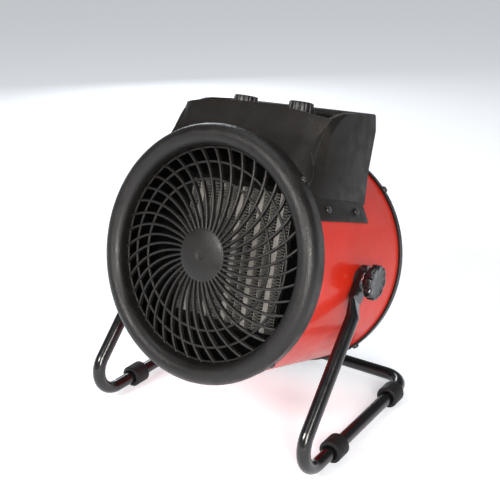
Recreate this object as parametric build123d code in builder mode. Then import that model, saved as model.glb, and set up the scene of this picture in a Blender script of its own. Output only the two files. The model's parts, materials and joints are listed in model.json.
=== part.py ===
from build123d import *
from math import cos, hypot, radians, sin, sqrt, tan
import os

# A drum-shaped forced air heater hung in a bent tube stand. Lengths are in millimetres, angles in degrees.
#
# X runs to the right as seen from the front, Y to the rear and Z up. The stand is modelled where it
# stands. Everything on the drum is modelled upright about the tilt pivot, with the drum's axis along Y,
# and save() tips it back by rest_tilt. Stations along the axis are measured from the pivot, rear positive.

# ---- Attitude and fits
rest_tilt = 17.4  # the outlet looks up by this angle
fit = 0.05  # radial clearance between pieces that stay together
running_fit = 0.08  # radial clearance of a turning shaft
joint_gap = 0.3  # gap between pieces that lie beside each other

# ---- Drum: casing, front bezel, rear rim
drum_radius = 105.9
casing_sheet = 0.8
bezel_overhang = 4.1  # how far the lip stands out past the casing
bezel_front = -87.4
bezel_length = 20.0
bead_radius = 9.0  # the rolled lip round the outlet
collar_draft = 6.0  # taper of the collar behind the lip
collar_wall = 2.95
skirt_wall = 3.0
skirt_length = 8.4
lip_to_casing = 7.4  # from the front of the lip to the casing's front edge
rear_face = 85.9
rim_length = 6.6
rim_wall = 2.0
rim_lip = 1.8
rim_lip_width = 6.4  # inwards from the casing
rim_chamfer = 1.2

# ---- Front grille: a hub, swept ribs and three hoops on one dished surface
rib_count = 40
rib_width = 2.2
rib_depth = 4.0
rib_sweep_middle = 11.6  # how far a rib has turned at its middle point
rib_sweep_end = 24.5  # and at its outer end
rib_root_radius = 22.0
rib_segments = 4  # straight runs that stand for a rib's curve
rib_middle_radius = 60.3
dish_depth = 8.5
grille_setback = 3.7
hub_radius = 22.8
hub_crown = 2.4
hub_thickness = 6.0
hub_dimple_radius = 3.2
hub_dimple_depth = 0.7
inner_hoop_radius = 64.0
outer_hoop_radius = 78.5
hoop_width = 2.0
hoop_depth = 2.0
hoop_setback = 1.6
seat_hoop_width = 2.2

# ---- Rear intake grille
intake_sheet = 1.6
intake_skirt = 7.0
vent_count = 28
vent_inner_radius = 34.0
vent_middle_radius = 62.0
vent_margin = 7.5  # from the rear rim's lip in to the vents
vent_bridge = 3.0
vent_share = 0.58  # part of each pitch that is open

# ---- Handle housing: two cheeks and a grip in one moulding, on the drum's crest
cheek_inset = 18.9  # from the drum's side in to the cheek's outer face
cheek_thickness = 16.0
foot_rise = -46.0  # rises are measured from the drum's crest
cheek_draft = 7.5  # the outer face leans in by this angle
cheek_web = 3.5  # straight part of a cheek, beside the console
# Each pair is a station back from the collar's rear edge, and a rise: foot, bulge, shoulder, brow and crest.
cheek_root = ((3.0, -46.0), (15.5, -12.0), (28.5, 19.7), (45.0, 26.8), (67.4, 31.6))  # at the web
cheek_face = ((13.5, -46.0), (20.3, -13.5), (27.4, 8.8), (40.0, 20.8), (76.9, 31.0))  # on the outer face
cheek_rear = ((105.3, 35.6), (107.5, 20.7), (97.5, -15.0), (93.3, -46.0))  # top, tail, waist and heel
flange_thickness = 1.4
flange_top_rise = -40.0
flange_foot_rise = -59.4
flange_length = 87.4
flange_root = 7.0  # how far inside the cheek's outer face the flange starts
grip_station = 86.4
grip_rise = 20.7
grip_thickness = 12.4
grip_fillet = 4.0

# ---- Control console between the cheeks
console_seat = 10.5  # how far the console reaches over the cheeks
console_corner = 19.0
console_wall = 2.5
console_crown_radius = 380.0
console_crown_rise = 26.4
console_front_station = 24.1  # at the top of the front
console_lean = 21.0
console_rear_station = 70.4
console_foot_drop = 36.0
rim_width = 1.6
rim_height = 2.0

# ---- Controls
control_inset = 41.5  # from a cheek's inner face to the knob's axis
control_station = 54.8
knob_radius = 10.7
knob_top_rise = 33.8
knob_taper = 4.0
knob_floor_gap = 0.4
flute_count = 14
flute_depth = 1.0
flute_land = 0.3  # half of a land between flutes, as part of the pitch
shaft_diameter = 6.0
shaft_engagement = 7.0
neck_diameter = 9.6
switch_width = 24.0
switch_height = 12.0
thermostat_diameter = 26.0
thermostat_height = 10.0
terminal_size = (30.0, 16.0, 11.0)
terminal_station = 33.0
gland_inset = 19.0  # from the left cheek's inner face
gland_rise = 8.5
gland_thread = 12.0
gland_bore = 7.2
gland_head = 17.0
gland_head_length = 7.0
gland_nut_length = 4.0

# ---- Heating element: bars, corrugated fins and thin plates stacked in a frame
element_front = 48.4  # behind the front of the lip
element_depth = 14.0
element_height = 121.0
bar_count = 5
bar_pitch = 21.5
bar_width = 5.0
divider = 0.5
fin_sheet = 0.5
fin_folds = 9
frame_wall = 4.0
baffle_sheet = 1.0
baffle_setback = 2.0
duct_length = 18.0
baffle_flange = 8.0
cutout_diameter = 16.0
cutout_height = 6.0
cutout_gap = 7.5  # above the element's frame

# ---- Motor and fan
intake_clearance = 1.0
bracket_sheet = 2.0
bracket_width = 30.0
bracket_plate_radius = 33.0
bracket_tab = 12.0
motor_radius = 29.0
motor_length = 34.0
motor_wall = 1.6
end_cap_thickness = 3.0
stator_thickness = 5.0
stator_length = 20.0
air_gap = 0.6
motor_shaft_diameter = 8.0
motor_screw_circle = 22.0
motor_screw_count = 3
fan_radius = 90.0
fan_hub_radius = 20.0
fan_hub_length = 20.0
fan_gap = 5.0
blade_count = 6
blade_thickness = 1.6
blade_root_chord = 25.0
blade_tip_chord = 44.0
blade_pitch = 28.0
fan_nut_width = 13.0
fan_nut_length = 5.0

# ---- Fasteners
screw_head_diameter = 6.6
screw_head_height = 2.3
screw_shank = 3.0
screw_length = 6.0
bezel_screw_angle = 44.0  # from the horizontal, in each quarter
bezel_screw_inset = 3.0
rim_screw_angle = 45.0
flange_screw_rise = -50.9
flange_screw_stations = (18.9, 68.4)
motor_screw_shank = 3.0
motor_screw_head = 5.5

# ---- Stand and clamps
tube_diameter = 12.0
pivot_rise = 138.5  # pivot above the runners' centre line
leg_reach = 131.0  # from the pivot forward to the corner of leg and runner
runner_reach = 90.8  # and rearward to the crossbar
leg_splay = 2.3  # how far a leg's foot stands out past its top
leg_bend = 22.5
rear_bend = 22.0
flat_thickness = 5.0
flat_width = 17.0
flat_above = 13.0
flat_below = 20.0
flare_length = 14.0
foot_diameter = 21.0
foot_length = 17.5
foot_flat = 0.25  # the soft foot is pressed flat by this much
foot_edge = 1.2
foot_stations = (-51.5, 55.6)
spacer_thickness = 2.1
spacer_diameter = 18.0
washer_thickness = 1.2
washer_diameter = 17.0
stud_diameter = 6.0
stud_clearance = 0.1
clamp_hub_radius = 8.0
clamp_hub_length = 4.0
clamp_head_length = 7.0
clamp_radius = 15.3
lobe_count = 8
lobe_depth = 2.6
lobe_land = 0.27  # half of a lobe's top, as part of the pitch
weld_nut_width = 10.0
weld_nut_thickness = 5.0

# ---- What follows from them
casing_front = bezel_front + lip_to_casing
casing_rear = rear_face - rim_lip
casing_bore = drum_radius - casing_sheet
bezel_radius = drum_radius + bezel_overhang
seat_radius = drum_radius + fit
collar_rear = bezel_front + bezel_length
throat_radius = bezel_radius - 2 * bead_radius
bead_station = bezel_front + bead_radius
runner_height = foot_diameter / 2 - foot_flat
pivot_height = runner_height + pivot_rise
tube_end_inner = drum_radius + spacer_thickness
leg_top_half_width = tube_end_inner + tube_diameter / 2
stand_half_width = leg_top_half_width + leg_splay
washer_inner = tube_end_inner + flat_thickness
clamp_inner = washer_inner + washer_thickness
clamp_face = clamp_inner + clamp_hub_length + clamp_head_length
grille_front = bezel_front + grille_setback
rim_radius = drum_radius + rim_wall
rim_lip_radius = drum_radius - rim_lip_width
cheek_outer = drum_radius - cheek_inset
cheek_inner = cheek_outer - cheek_thickness
control_offset = cheek_inner - control_inset
gland_offset = gland_inset - cheek_inner

# The middle of the tipped drum, from lip to rear rim, stands over the middle of the frame.
front_extent = bead_station * cos(radians(rest_tilt)) - (bezel_radius - bead_radius) * sin(radians(rest_tilt))
rear_extent = rear_face * cos(radians(rest_tilt)) + (rim_radius - rim_chamfer) * sin(radians(rest_tilt))
pivot_station = -(front_extent - bead_radius + rear_extent) / 2
drum_at_rest = Location((0, pivot_station, pivot_height), (-rest_tilt, 0, 0))

os.makedirs("parts", exist_ok=True)


def save(piece, label, on_drum=True):
    """Write a finished piece, tipped back about the pivot when the drum carries it."""
    if on_drum:
        piece = piece.moved(drum_at_rest)
    piece.label = label
    export_step(piece, f"parts/{label}.step")


def housing(station, rise):
    """A point in side view: back from the collar's rear edge, and up from the drum's crest."""
    return (collar_rear + station, drum_radius + rise)


def across(station):
    """The plane across the drum at a station, seen from the front: x right, y up."""
    return Plane.XZ.offset(-station)


def outward(angle, station, radius):
    """The plane that faces away from the drum's axis, angle up from the right-hand side."""
    direction = (cos(radians(angle)), 0, sin(radians(angle)))
    origin = (radius * direction[0], station, radius * direction[2])
    return Plane(origin=origin, x_dir=(0, 1, 0), z_dir=direction)


def bore(plane, diameter, depth):
    """Cut a round hole of this depth below a plane, and as far above it."""
    with BuildSketch(plane) as outline:
        Circle(diameter / 2)
    extrude(outline.sketch, amount=depth, both=True, mode=Mode.SUBTRACT)


def lobed(outer, inner, count, land):
    """Corners of a lobed outline: flat-topped lobes, with a single valley between two of them."""
    corners = []
    for lobe in range(count):
        for turn, radius in ((lobe - land, outer), (lobe + land, outer), (lobe + 0.5, inner)):
            angle = radians(turn * 360 / count)
            corners.append((radius * cos(angle), radius * sin(angle)))
    return corners


def screw(plane):
    """Add a pan-head screw whose head stands on the plane."""
    with BuildSketch(plane) as head:
        Circle(screw_head_diameter / 2)
    extrude(head.sketch, amount=screw_head_height)
    with BuildSketch(plane) as shank:
        Circle(screw_shank / 2)
    extrude(shank.sketch, amount=-screw_length)


# ---- Where the drum's screws go
collar_screw_station = collar_rear - bezel_screw_inset
collar_seat = drum_radius + collar_wall
rim_screw_station = rear_face - rim_length / 2
bezel_screw_planes = []
rim_screw_planes = []
for sign, start in ((1, 0), (-1, 180), (1, 180), (-1, 360)):
    bezel_angle = start + sign * bezel_screw_angle
    rim_angle = start + sign * rim_screw_angle
    bezel_screw_planes.append(outward(bezel_angle, collar_screw_station, collar_seat + joint_gap))
    rim_screw_planes.append(outward(rim_angle, rim_screw_station, rim_radius))

flange_radius = drum_radius + flange_thickness
flange_screw_height = drum_radius + flange_screw_rise
flange_screw_x = sqrt(flange_radius**2 - flange_screw_height**2)
flange_screw_planes = []
for side in (1, -1):
    for station in flange_screw_stations:
        direction = (side * flange_screw_x, 0, flange_screw_height)
        origin = (side * flange_screw_x, collar_rear + station, flange_screw_height)
        flange_screw_planes.append(Plane(origin=origin, x_dir=(0, 1, 0), z_dir=direction))
hole_diameter = screw_shank + 2 * fit


# ---- Drum casing
with BuildPart() as drum_casing:
    with BuildSketch(across(casing_front)):
        Circle(drum_radius)
        Circle(casing_bore, mode=Mode.SUBTRACT)
    extrude(amount=casing_front - casing_rear)
    for plane in bezel_screw_planes + rim_screw_planes + flange_screw_planes:
        bore(plane, hole_diameter, screw_length)
    for side in (1, -1):
        bore(Plane.YZ.offset(side * drum_radius), stud_diameter + 2 * stud_clearance, screw_length)
save(drum_casing.part, "drum_casing")

# ---- Front bezel: a rolled lip, a tapered collar over the casing and a skirt round the outlet
taper = radians(collar_draft)
collar_start_y = bead_station + bead_radius * sin(taper)
collar_start_z = bezel_radius - bead_radius + bead_radius * cos(taper)
collar_end_z = collar_start_z - (collar_rear - collar_start_y) * tan(taper)
with BuildPart() as front_bezel:
    with BuildSketch(Plane.YZ):
        with BuildLine():
            ThreePointArc(
                (bead_station, throat_radius),
                (bezel_front, throat_radius + bead_radius),
                (collar_start_y, collar_start_z),
            )
            Polyline(
                (collar_start_y, collar_start_z),
                (collar_rear, collar_end_z),
                (collar_rear, seat_radius),
                (casing_front - joint_gap, seat_radius),
                (casing_front - joint_gap, throat_radius + skirt_wall),
                (bead_station + skirt_length, throat_radius + skirt_wall),
                (bead_station + skirt_length, throat_radius),
                (bead_station, throat_radius),
            )
        make_face()
    revolve(axis=Axis.Y)
    for plane in bezel_screw_planes:
        bore(plane, hole_diameter, screw_length)
        with BuildSketch(plane):
            Circle(screw_head_diameter / 2 + joint_gap)
        extrude(amount=collar_wall, mode=Mode.SUBTRACT)
save(front_bezel.part, "front_bezel")

# ---- Front grille: forty swept ribs on a dished layer, with the hub and the hoops
rib_end_radius = throat_radius - 2 * fit


def dish(radius):
    """The station of the ribs' front at this radius."""
    return grille_front + dish_depth * (radius / throat_radius) ** 2


def rib_sweep(radius):
    """How far a rib has turned at this radius, in degrees."""
    middle_run = rib_middle_radius - rib_root_radius
    end_run = throat_radius - rib_root_radius
    middle_rate = rib_sweep_middle / middle_run
    end_rate = rib_sweep_end / end_run
    growth = (end_rate - middle_rate) / (end_run - middle_run)
    run = radius - rib_root_radius
    return run * (middle_rate + growth * (run - middle_run))


rib_joints = []
rib_front = []
for joint in range(rib_segments + 1):
    radius = rib_root_radius + (rib_end_radius - rib_width / 2 - rib_root_radius) * joint / rib_segments
    turn = rib_sweep(radius)
    rib_joints.append(Vector(radius * cos(radians(turn)), radius * sin(radians(turn))))
    rib_front.append((rib_joints[-1].X, dish(radius)))
rib_left = []
rib_right = []
for joint, here in enumerate(rib_joints):
    along = rib_joints[min(joint + 1, rib_segments)] - rib_joints[max(joint - 1, 0)]
    aside = Vector(-along.Y, along.X).normalized() * rib_width / 2
    rib_left.append(here + aside)
    rib_right.append(here - aside)
rib_outline = [(corner.X, corner.Y) for corner in rib_left + rib_right[::-1]]

with BuildPart() as rib:
    with BuildSketch(across(bezel_front)):
        Polygon(*rib_outline, align=None)
    extrude(amount=-2 * bezel_length)
    with BuildSketch(Plane.XY):
        first = (0, rib_front[0][1])
        last = (throat_radius, rib_front[-1][1])
        behind = [(reach, front + rib_depth) for reach, front in (last, *rib_front[::-1], first)]
        Polygon(first, *rib_front, last, *behind, align=None)
    extrude(amount=throat_radius, both=True, mode=Mode.INTERSECT)

with BuildPart() as front_grille:
    for turn in range(rib_count):
        add(rib.part.rotate(Axis.Y, turn * 360 / rib_count))
    for radius in (inner_hoop_radius, outer_hoop_radius):
        with BuildSketch(across(dish(radius) + hoop_setback)):
            RegularPolygon(radius + hoop_width / 2, rib_count)
            RegularPolygon(radius - hoop_width / 2, rib_count, mode=Mode.SUBTRACT)
        extrude(amount=-hoop_depth)
    with BuildSketch(across(dish(throat_radius) + hoop_setback)):
        RegularPolygon(rib_end_radius, rib_count)
        RegularPolygon(rib_end_radius - seat_hoop_width, rib_count, mode=Mode.SUBTRACT)
    extrude(amount=-hoop_depth)
    hub_edge = dish(hub_radius)
    with BuildSketch(Plane.YZ):
        with BuildLine():
            ThreePointArc(
                (hub_edge - hub_crown, 0),
                (hub_edge - 0.75 * hub_crown, hub_radius / 2),
                (hub_edge, hub_radius),
            )
            Polyline(
                (hub_edge, hub_radius),
                (hub_edge + hub_thickness, hub_radius),
                (hub_edge + hub_thickness, 0),
                (hub_edge - hub_crown, 0),
            )
        make_face()
    revolve(axis=Axis.Y)
    with BuildSketch(across(hub_edge - hub_crown)):
        Circle(hub_dimple_radius)
    extrude(amount=-hub_dimple_depth, mode=Mode.SUBTRACT)
save(front_grille.part, "front_grille")

# ---- Rear rim and intake grille
with BuildPart() as rear_rim:
    with BuildSketch(Plane.YZ):
        Polygon(
            (rear_face - rim_length, seat_radius),
            (rear_face - rim_length, rim_radius),
            (rear_face, rim_radius),
            (rear_face, rim_lip_radius),
            (casing_rear + fit, rim_lip_radius),
            (casing_rear + fit, seat_radius),
            align=None,
        )
    revolve(axis=Axis.Y)
    outer_edge = edges().filter_by(GeomType.CIRCLE).group_by(Axis.Y)[-1].sort_by(SortBy.RADIUS)[-1]
    chamfer(outer_edge, length=rim_chamfer)
    for plane in rim_screw_planes:
        bore(plane, hole_diameter, screw_length)
save(rear_rim.part, "rear_rim")

intake_radius = casing_bore - fit
with BuildPart() as rear_grille:
    with BuildSketch(across(casing_rear - intake_sheet)):
        Circle(intake_radius)
    extrude(amount=-intake_sheet)
    with BuildSketch(across(casing_rear - intake_skirt)):
        Circle(intake_radius)
        Circle(intake_radius - intake_sheet, mode=Mode.SUBTRACT)
    extrude(amount=-intake_skirt)
    vent_angle = 360 / vent_count * vent_share / 2
    vent_outer_radius = rim_lip_radius - vent_margin
    with BuildSketch(across(casing_rear)):
        for inner, outer in (
            (vent_inner_radius, vent_middle_radius - vent_bridge / 2),
            (vent_middle_radius + vent_bridge / 2, vent_outer_radius),
        ):
            half_in = inner * sin(radians(vent_angle))
            half_out = outer * sin(radians(vent_angle))
            with PolarLocations(0, vent_count):
                Polygon((inner, -half_in), (outer, -half_out), (outer, half_out), (inner, half_in), align=None)
    extrude(amount=intake_sheet, mode=Mode.SUBTRACT)
    for plane in rim_screw_planes:
        bore(plane, hole_diameter, screw_length)
save(rear_grille.part, "rear_grille")

with BuildPart() as rear_rim_screws:
    for plane in rim_screw_planes:
        screw(plane)
save(rear_rim_screws.part, "rear_rim_screws")

with BuildPart() as bezel_screws:
    for plane in bezel_screw_planes:
        screw(plane)
save(bezel_screws.part, "bezel_screws")


# ---- Handle housing
def cheek(plane, corners, grow=0.0):
    """A cheek's outline in side view, grown all round where it is used as a cutter."""
    with BuildSketch(plane) as outline:
        with BuildLine():
            ThreePointArc(*corners[:3])
            ThreePointArc(*corners[2:5])
            Polyline(*corners[4:], corners[0])
        make_face()
        if grow:
            offset(amount=grow, kind=Kind.INTERSECTION)
    return outline.sketch


root_corners = [housing(*corner) for corner in cheek_root + cheek_rear]
face_foot = drum_radius + foot_rise
face_plane = Plane(
    origin=(cheek_outer, 0, face_foot),
    x_dir=(0, 1, 0),
    z_dir=(cos(radians(cheek_draft)), 0, sin(radians(cheek_draft))),
)
face_corners = []
for corner in cheek_face + cheek_rear:
    station, height = housing(*corner)
    face_corners.append((station, (height - face_foot) / cos(radians(cheek_draft))))

with BuildPart() as handle_housing:
    extrude(cheek(Plane.YZ.offset(cheek_inner), root_corners), amount=cheek_web)
    web_face = cheek(Plane.YZ.offset(cheek_inner + cheek_web), root_corners)
    loft([web_face, cheek(face_plane, face_corners)], ruled=True)
    mirror(about=Plane.YZ)
    with BuildSketch(across(collar_rear + joint_gap)):
        Circle(flange_radius)
        flange_middle = drum_radius + (flange_top_rise + flange_foot_rise) / 2
        flange_start = cheek_outer - flange_root
        with BuildSketch(mode=Mode.PRIVATE) as bands:
            for side in (1, -1):
                with Locations((side * (flange_start + drum_radius) / 2, flange_middle)):
                    Rectangle(drum_radius - flange_start, flange_top_rise - flange_foot_rise)
        add(bands.sketch, mode=Mode.INTERSECT)
    extrude(amount=joint_gap - flange_length)
    grip_corner = housing(grip_station, grip_rise)
    grip_top, grip_tail = root_corners[5:7]
    with BuildSketch(Plane.YZ.offset(-cheek_inner)) as grip:
        Polygon(
            grip_corner,
            (grip_corner[0], grip_corner[1] + grip_thickness),
            grip_top,
            grip_tail,
            align=None,
        )
        fillet(grip.vertices(), radius=grip_fillet)
    extrude(amount=2 * cheek_inner)
    with BuildSketch(across(bezel_front)):
        Circle(seat_radius)
    extrude(amount=-2 * drum_radius, mode=Mode.SUBTRACT)
    for plane in flange_screw_planes:
        bore(plane, hole_diameter, screw_length)
save(handle_housing.part, "handle_housing")

with BuildPart() as flange_screws:
    for plane in flange_screw_planes:
        screw(plane)
save(flange_screws.part, "flange_screws")


# ---- Control console: a leaning front with rounded corners, open over the drum, its deck sunk in a rim
def console_outline(rise, half_width, corner, inset):
    """The console's outline in plan at this rise, inset at the front and the rear."""
    plane = Plane.XY.offset(drum_radius + rise)
    lean = (console_crown_rise - rise) * tan(radians(console_lean))
    front = collar_rear + console_front_station - lean + inset
    rear = collar_rear + console_rear_station - inset
    with BuildSketch(plane) as outline:
        with BuildLine():
            FilletPolyline(
                (-half_width, rear),
                (-half_width, front),
                (half_width, front),
                (half_width, rear),
                radius=corner,
            )
            Line((half_width, rear), (-half_width, rear))
        make_face()
    return outline.sketch


deck_rise = console_crown_rise - rim_height
ceiling_rise = deck_rise - console_wall
deck_crown_radius = console_crown_radius - rim_height


def crowned(offset, rise):
    """The height of a crowned surface at this offset, for its rise in the middle."""
    radius = console_crown_radius - (console_crown_rise - rise)
    return drum_radius + rise - radius + sqrt(radius**2 - offset**2)


def console_block(half_width, corner, inset, depth):
    """The console's filled form, its crowned top this depth below the rim."""
    with BuildPart() as block:
        loft(
            [
                console_outline(-console_foot_drop, half_width, corner, inset),
                console_outline(console_crown_rise + 1, half_width, corner, inset),
            ],
            ruled=True,
        )
        with BuildSketch(across(2 * bezel_front)):
            with Locations((0, drum_radius + console_crown_rise - console_crown_radius)):
                Circle(console_crown_radius - depth)
        extrude(amount=4 * bezel_front, mode=Mode.INTERSECT)
    return block.part


cavity_half_width = cheek_inner - fit - console_wall
console_half_width = cheek_inner + console_seat
control_y = collar_rear + control_station
control_deck = crowned(control_offset, deck_rise)
rear_wall = collar_rear + console_rear_station
gland_height = drum_radius + gland_rise
neck_hole = neck_diameter + 2 * fit

with BuildPart() as deck_pocket:
    add(console_block(console_half_width - rim_width, console_corner - rim_width, rim_width, 0))
    with BuildSketch(across(2 * bezel_front)):
        with Locations((0, drum_radius + deck_rise - deck_crown_radius)):
            Circle(deck_crown_radius)
    extrude(amount=4 * bezel_front, mode=Mode.SUBTRACT)

with BuildPart() as control_console:
    add(console_block(console_half_width, console_corner, 0, 0))
    cavity_corner = console_corner - console_wall
    add(
        console_block(cavity_half_width, cavity_corner, console_wall, rim_height + console_wall),
        mode=Mode.SUBTRACT,
    )
    add(deck_pocket.part, mode=Mode.SUBTRACT)
    for side in (1, -1):
        notch = cheek(Plane.YZ.offset(side * (cheek_inner - fit)), root_corners, grow=fit)
        extrude(notch, amount=side * cheek_thickness, mode=Mode.SUBTRACT)
    with BuildSketch(across(2 * bezel_front)):
        Circle(seat_radius)
    extrude(amount=4 * bezel_front, mode=Mode.SUBTRACT)
    for side in (1, -1):
        with BuildSketch(Plane.XY.offset(control_deck)):
            with Locations((side * control_offset, control_y)):
                Circle(neck_hole / 2)
        extrude(amount=rim_height + console_wall, both=True, mode=Mode.SUBTRACT)
    with BuildSketch(across(rear_wall)):
        with Locations((gland_offset, gland_height)):
            Circle(gland_thread / 2 + fit)
    extrude(amount=2 * console_wall, mode=Mode.SUBTRACT)
save(control_console.part, "control_console")

# ---- Controls: knob and shaft over the deck, switch and thermostat bodies hung under it
knob_top = drum_radius + knob_top_rise
knob_base_radius = knob_radius + (knob_top - control_deck) * tan(radians(knob_taper))
knob_floor = crowned(control_offset - knob_base_radius, deck_rise) + knob_floor_gap
shaft_top = knob_floor + shaft_engagement
body_top = crowned(control_offset + thermostat_diameter / 2, ceiling_rise) - fit


def control_plane(height):
    """A level plane at this height; controls sit on it at their own offsets."""
    return Plane.XY.offset(height)


knob_outline = lobed(knob_base_radius, knob_base_radius - flute_depth, flute_count, flute_land)
for side, control, body in ((-1, "selector", "selector_switch_body"), (1, "thermostat", "thermostat_body")):
    centre = (side * control_offset, control_y)
    body_height = switch_height if control == "selector" else thermostat_height
    with BuildPart() as knob:
        with BuildSketch(control_plane(knob_floor)):
            with Locations(centre):
                Polygon(*knob_outline, align=None)
        extrude(amount=knob_top - knob_floor, taper=knob_taper)
        with BuildSketch(control_plane(knob_floor)):
            with Locations(centre):
                Circle(shaft_diameter / 2 + fit)
        extrude(amount=shaft_engagement + fit, mode=Mode.SUBTRACT)
    save(knob.part, f"{control}_knob")

    with BuildPart() as shaft:
        with BuildSketch(control_plane(shaft_top)):
            with Locations(centre):
                Circle(shaft_diameter / 2)
        extrude(amount=body_top - body_height / 2 - shaft_top)
    save(shaft.part, f"{control}_shaft")

    with BuildPart() as control_body:
        with BuildSketch(control_plane(body_top)):
            with Locations(centre):
                if control == "selector":
                    RectangleRounded(switch_width, switch_width, console_wall)
                else:
                    Circle(thermostat_diameter / 2)
        extrude(amount=-body_height)
        with BuildSketch(control_plane(body_top)):
            with Locations(centre):
                Circle(neck_diameter / 2)
        extrude(amount=control_deck - body_top)
        with BuildSketch(control_plane(control_deck)):
            with Locations(centre):
                Circle(shaft_diameter / 2 + running_fit)
        socket_depth = control_deck - body_top + body_height / 2 + fit
        extrude(amount=-socket_depth, mode=Mode.SUBTRACT)
    save(control_body.part, body)

with BuildPart() as terminal_block:
    terminal_width, terminal_depth, terminal_height = terminal_size
    with BuildSketch(Plane.XY.offset(seat_radius)):
        with Locations((0, collar_rear + terminal_station)):
            Rectangle(terminal_width, terminal_depth)
    extrude(amount=terminal_height)
    with BuildSketch(Plane.XY.offset(seat_radius + terminal_height)):
        with Locations((0, collar_rear + terminal_station)):
            with GridLocations(terminal_width / 4, 1, 3, 1):
                Rectangle(terminal_width / 6, terminal_depth / 2)
    extrude(amount=-terminal_height / 2, mode=Mode.SUBTRACT)
save(terminal_block.part, "terminal_block")

with BuildPart() as cable_gland:
    with BuildSketch(across(rear_wall)):
        with Locations((gland_offset, gland_height)):
            RegularPolygon(gland_head / 2, 6, major_radius=False)
    extrude(amount=-gland_head_length)
    with BuildSketch(across(rear_wall)):
        with Locations((gland_offset, gland_height)):
            Circle(gland_thread / 2)
    extrude(amount=console_wall + gland_nut_length)
    with BuildSketch(across(rear_wall)):
        with Locations((gland_offset, gland_height)):
            Circle(gland_bore / 2)
    extrude(amount=gland_head_length + console_wall, both=True, mode=Mode.SUBTRACT)
save(cable_gland.part, "cable_gland")

with BuildPart() as gland_nut:
    with BuildSketch(across(rear_wall - console_wall)):
        with Locations((gland_offset, gland_height)):
            RegularPolygon(gland_head / 2, 6, major_radius=False)
            Circle(gland_thread / 2 + fit, mode=Mode.SUBTRACT)
    extrude(amount=gland_nut_length)
save(gland_nut.part, "gland_nut")

# ---- Heating element, its frame and the baffle that carries it
element_station = bezel_front + element_front
fin_width = (bar_pitch - bar_width - divider) / 2
fin_band = 2 * fin_sheet
stack_half_width = (bar_count * bar_pitch + divider) / 2
frame_half_width = stack_half_width + frame_wall
frame_half_height = element_height / 2 + frame_wall

with BuildPart() as ptc_bars:
    with BuildSketch(across(element_station)):
        with GridLocations(bar_pitch, 1, bar_count, 1):
            Rectangle(bar_width, element_height)
    extrude(amount=-element_depth)
save(ptc_bars.part, "ptc_bars")

with BuildPart() as ptc_dividers:
    with BuildSketch(across(element_station)):
        with GridLocations(bar_pitch, 1, bar_count + 1, 1):
            Rectangle(divider, element_height)
    extrude(amount=-element_depth)
save(ptc_dividers.part, "ptc_dividers")

fold_height = element_height / (2 * fin_folds)
folds = []
for step in range(2 * fin_folds + 1):
    reach = -fin_width / 2 if step % 2 == 0 else fin_width / 2 - fin_band
    folds.append((reach, step * fold_height - element_height / 2))
far_side = [(x + fin_band, z) for x, z in reversed(folds)]
with BuildPart() as fin_packs:
    with BuildSketch(across(element_station)):
        with GridLocations(bar_pitch, 1, bar_count, 1):
            with Locations((-(bar_width + fin_width) / 2, 0), ((bar_width + fin_width) / 2, 0)):
                Polygon(*folds, *far_side, align=None)
    extrude(amount=-element_depth)
save(fin_packs.part, "fin_packs")

with BuildPart() as ptc_frame:
    with BuildSketch(across(element_station)):
        Rectangle(2 * frame_half_width, 2 * frame_half_height)
        Rectangle(2 * stack_half_width, element_height, mode=Mode.SUBTRACT)
    extrude(amount=-element_depth)
save(ptc_frame.part, "ptc_frame")

baffle_station = element_station + baffle_setback
baffle_radius = casing_bore - fit
with BuildPart() as air_duct:
    with BuildSketch(across(baffle_station)):
        Circle(baffle_radius)
        Rectangle(2 * frame_half_width, 2 * frame_half_height, mode=Mode.SUBTRACT)
    extrude(amount=-baffle_sheet)
    with BuildSketch(across(baffle_station)):
        Circle(baffle_radius)
        Circle(baffle_radius - baffle_sheet, mode=Mode.SUBTRACT)
    extrude(amount=-baffle_flange)
    with BuildSketch(across(baffle_station)):
        Rectangle(2 * (frame_half_width + baffle_sheet), 2 * (frame_half_height + baffle_sheet))
        Rectangle(2 * frame_half_width, 2 * frame_half_height, mode=Mode.SUBTRACT)
    extrude(amount=-duct_length)
save(air_duct.part, "air_duct")

with BuildPart() as thermal_cutout:
    with BuildSketch(across(baffle_station + baffle_sheet)):
        with Locations((0, frame_half_height + cutout_gap + cutout_diameter / 2)):
            Circle(cutout_diameter / 2)
    extrude(amount=-cutout_height)
save(thermal_cutout.part, "thermal_cutout")

# ---- Motor on its strap, and the fan in front of it
motor_rear = casing_rear - intake_sheet - intake_clearance
can_rear = motor_rear - end_cap_thickness
can_front = can_rear - motor_length
bracket_front = can_front - bracket_sheet
fan_rear = bracket_front - fan_gap
fan_front = fan_rear - fan_hub_length
motor_bore = motor_shaft_diameter + 2 * running_fit
stator_outer = motor_radius - motor_wall - fit
stator_inner = stator_outer - stator_thickness
stator_front = (can_front + motor_wall + can_rear - stator_length) / 2
motor_screw_hole = motor_screw_shank + 2 * fit

with BuildPart() as motor_bracket:
    with BuildSketch(across(bracket_front)):
        Rectangle(2 * baffle_radius, bracket_width)
        Circle(bracket_plate_radius)
        Circle(baffle_radius, mode=Mode.INTERSECT)
        Circle(motor_shaft_diameter / 2 + joint_gap, mode=Mode.SUBTRACT)
        with PolarLocations(motor_screw_circle, motor_screw_count, start_angle=90):
            Circle(motor_screw_hole / 2, mode=Mode.SUBTRACT)
    extrude(amount=-bracket_sheet)
    with BuildSketch(across(bracket_front)):
        Rectangle(2 * baffle_radius, bracket_width)
        Circle(baffle_radius, mode=Mode.INTERSECT)
        Circle(baffle_radius - bracket_sheet, mode=Mode.SUBTRACT)
    extrude(amount=-bracket_tab)
save(motor_bracket.part, "motor_bracket")

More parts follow.
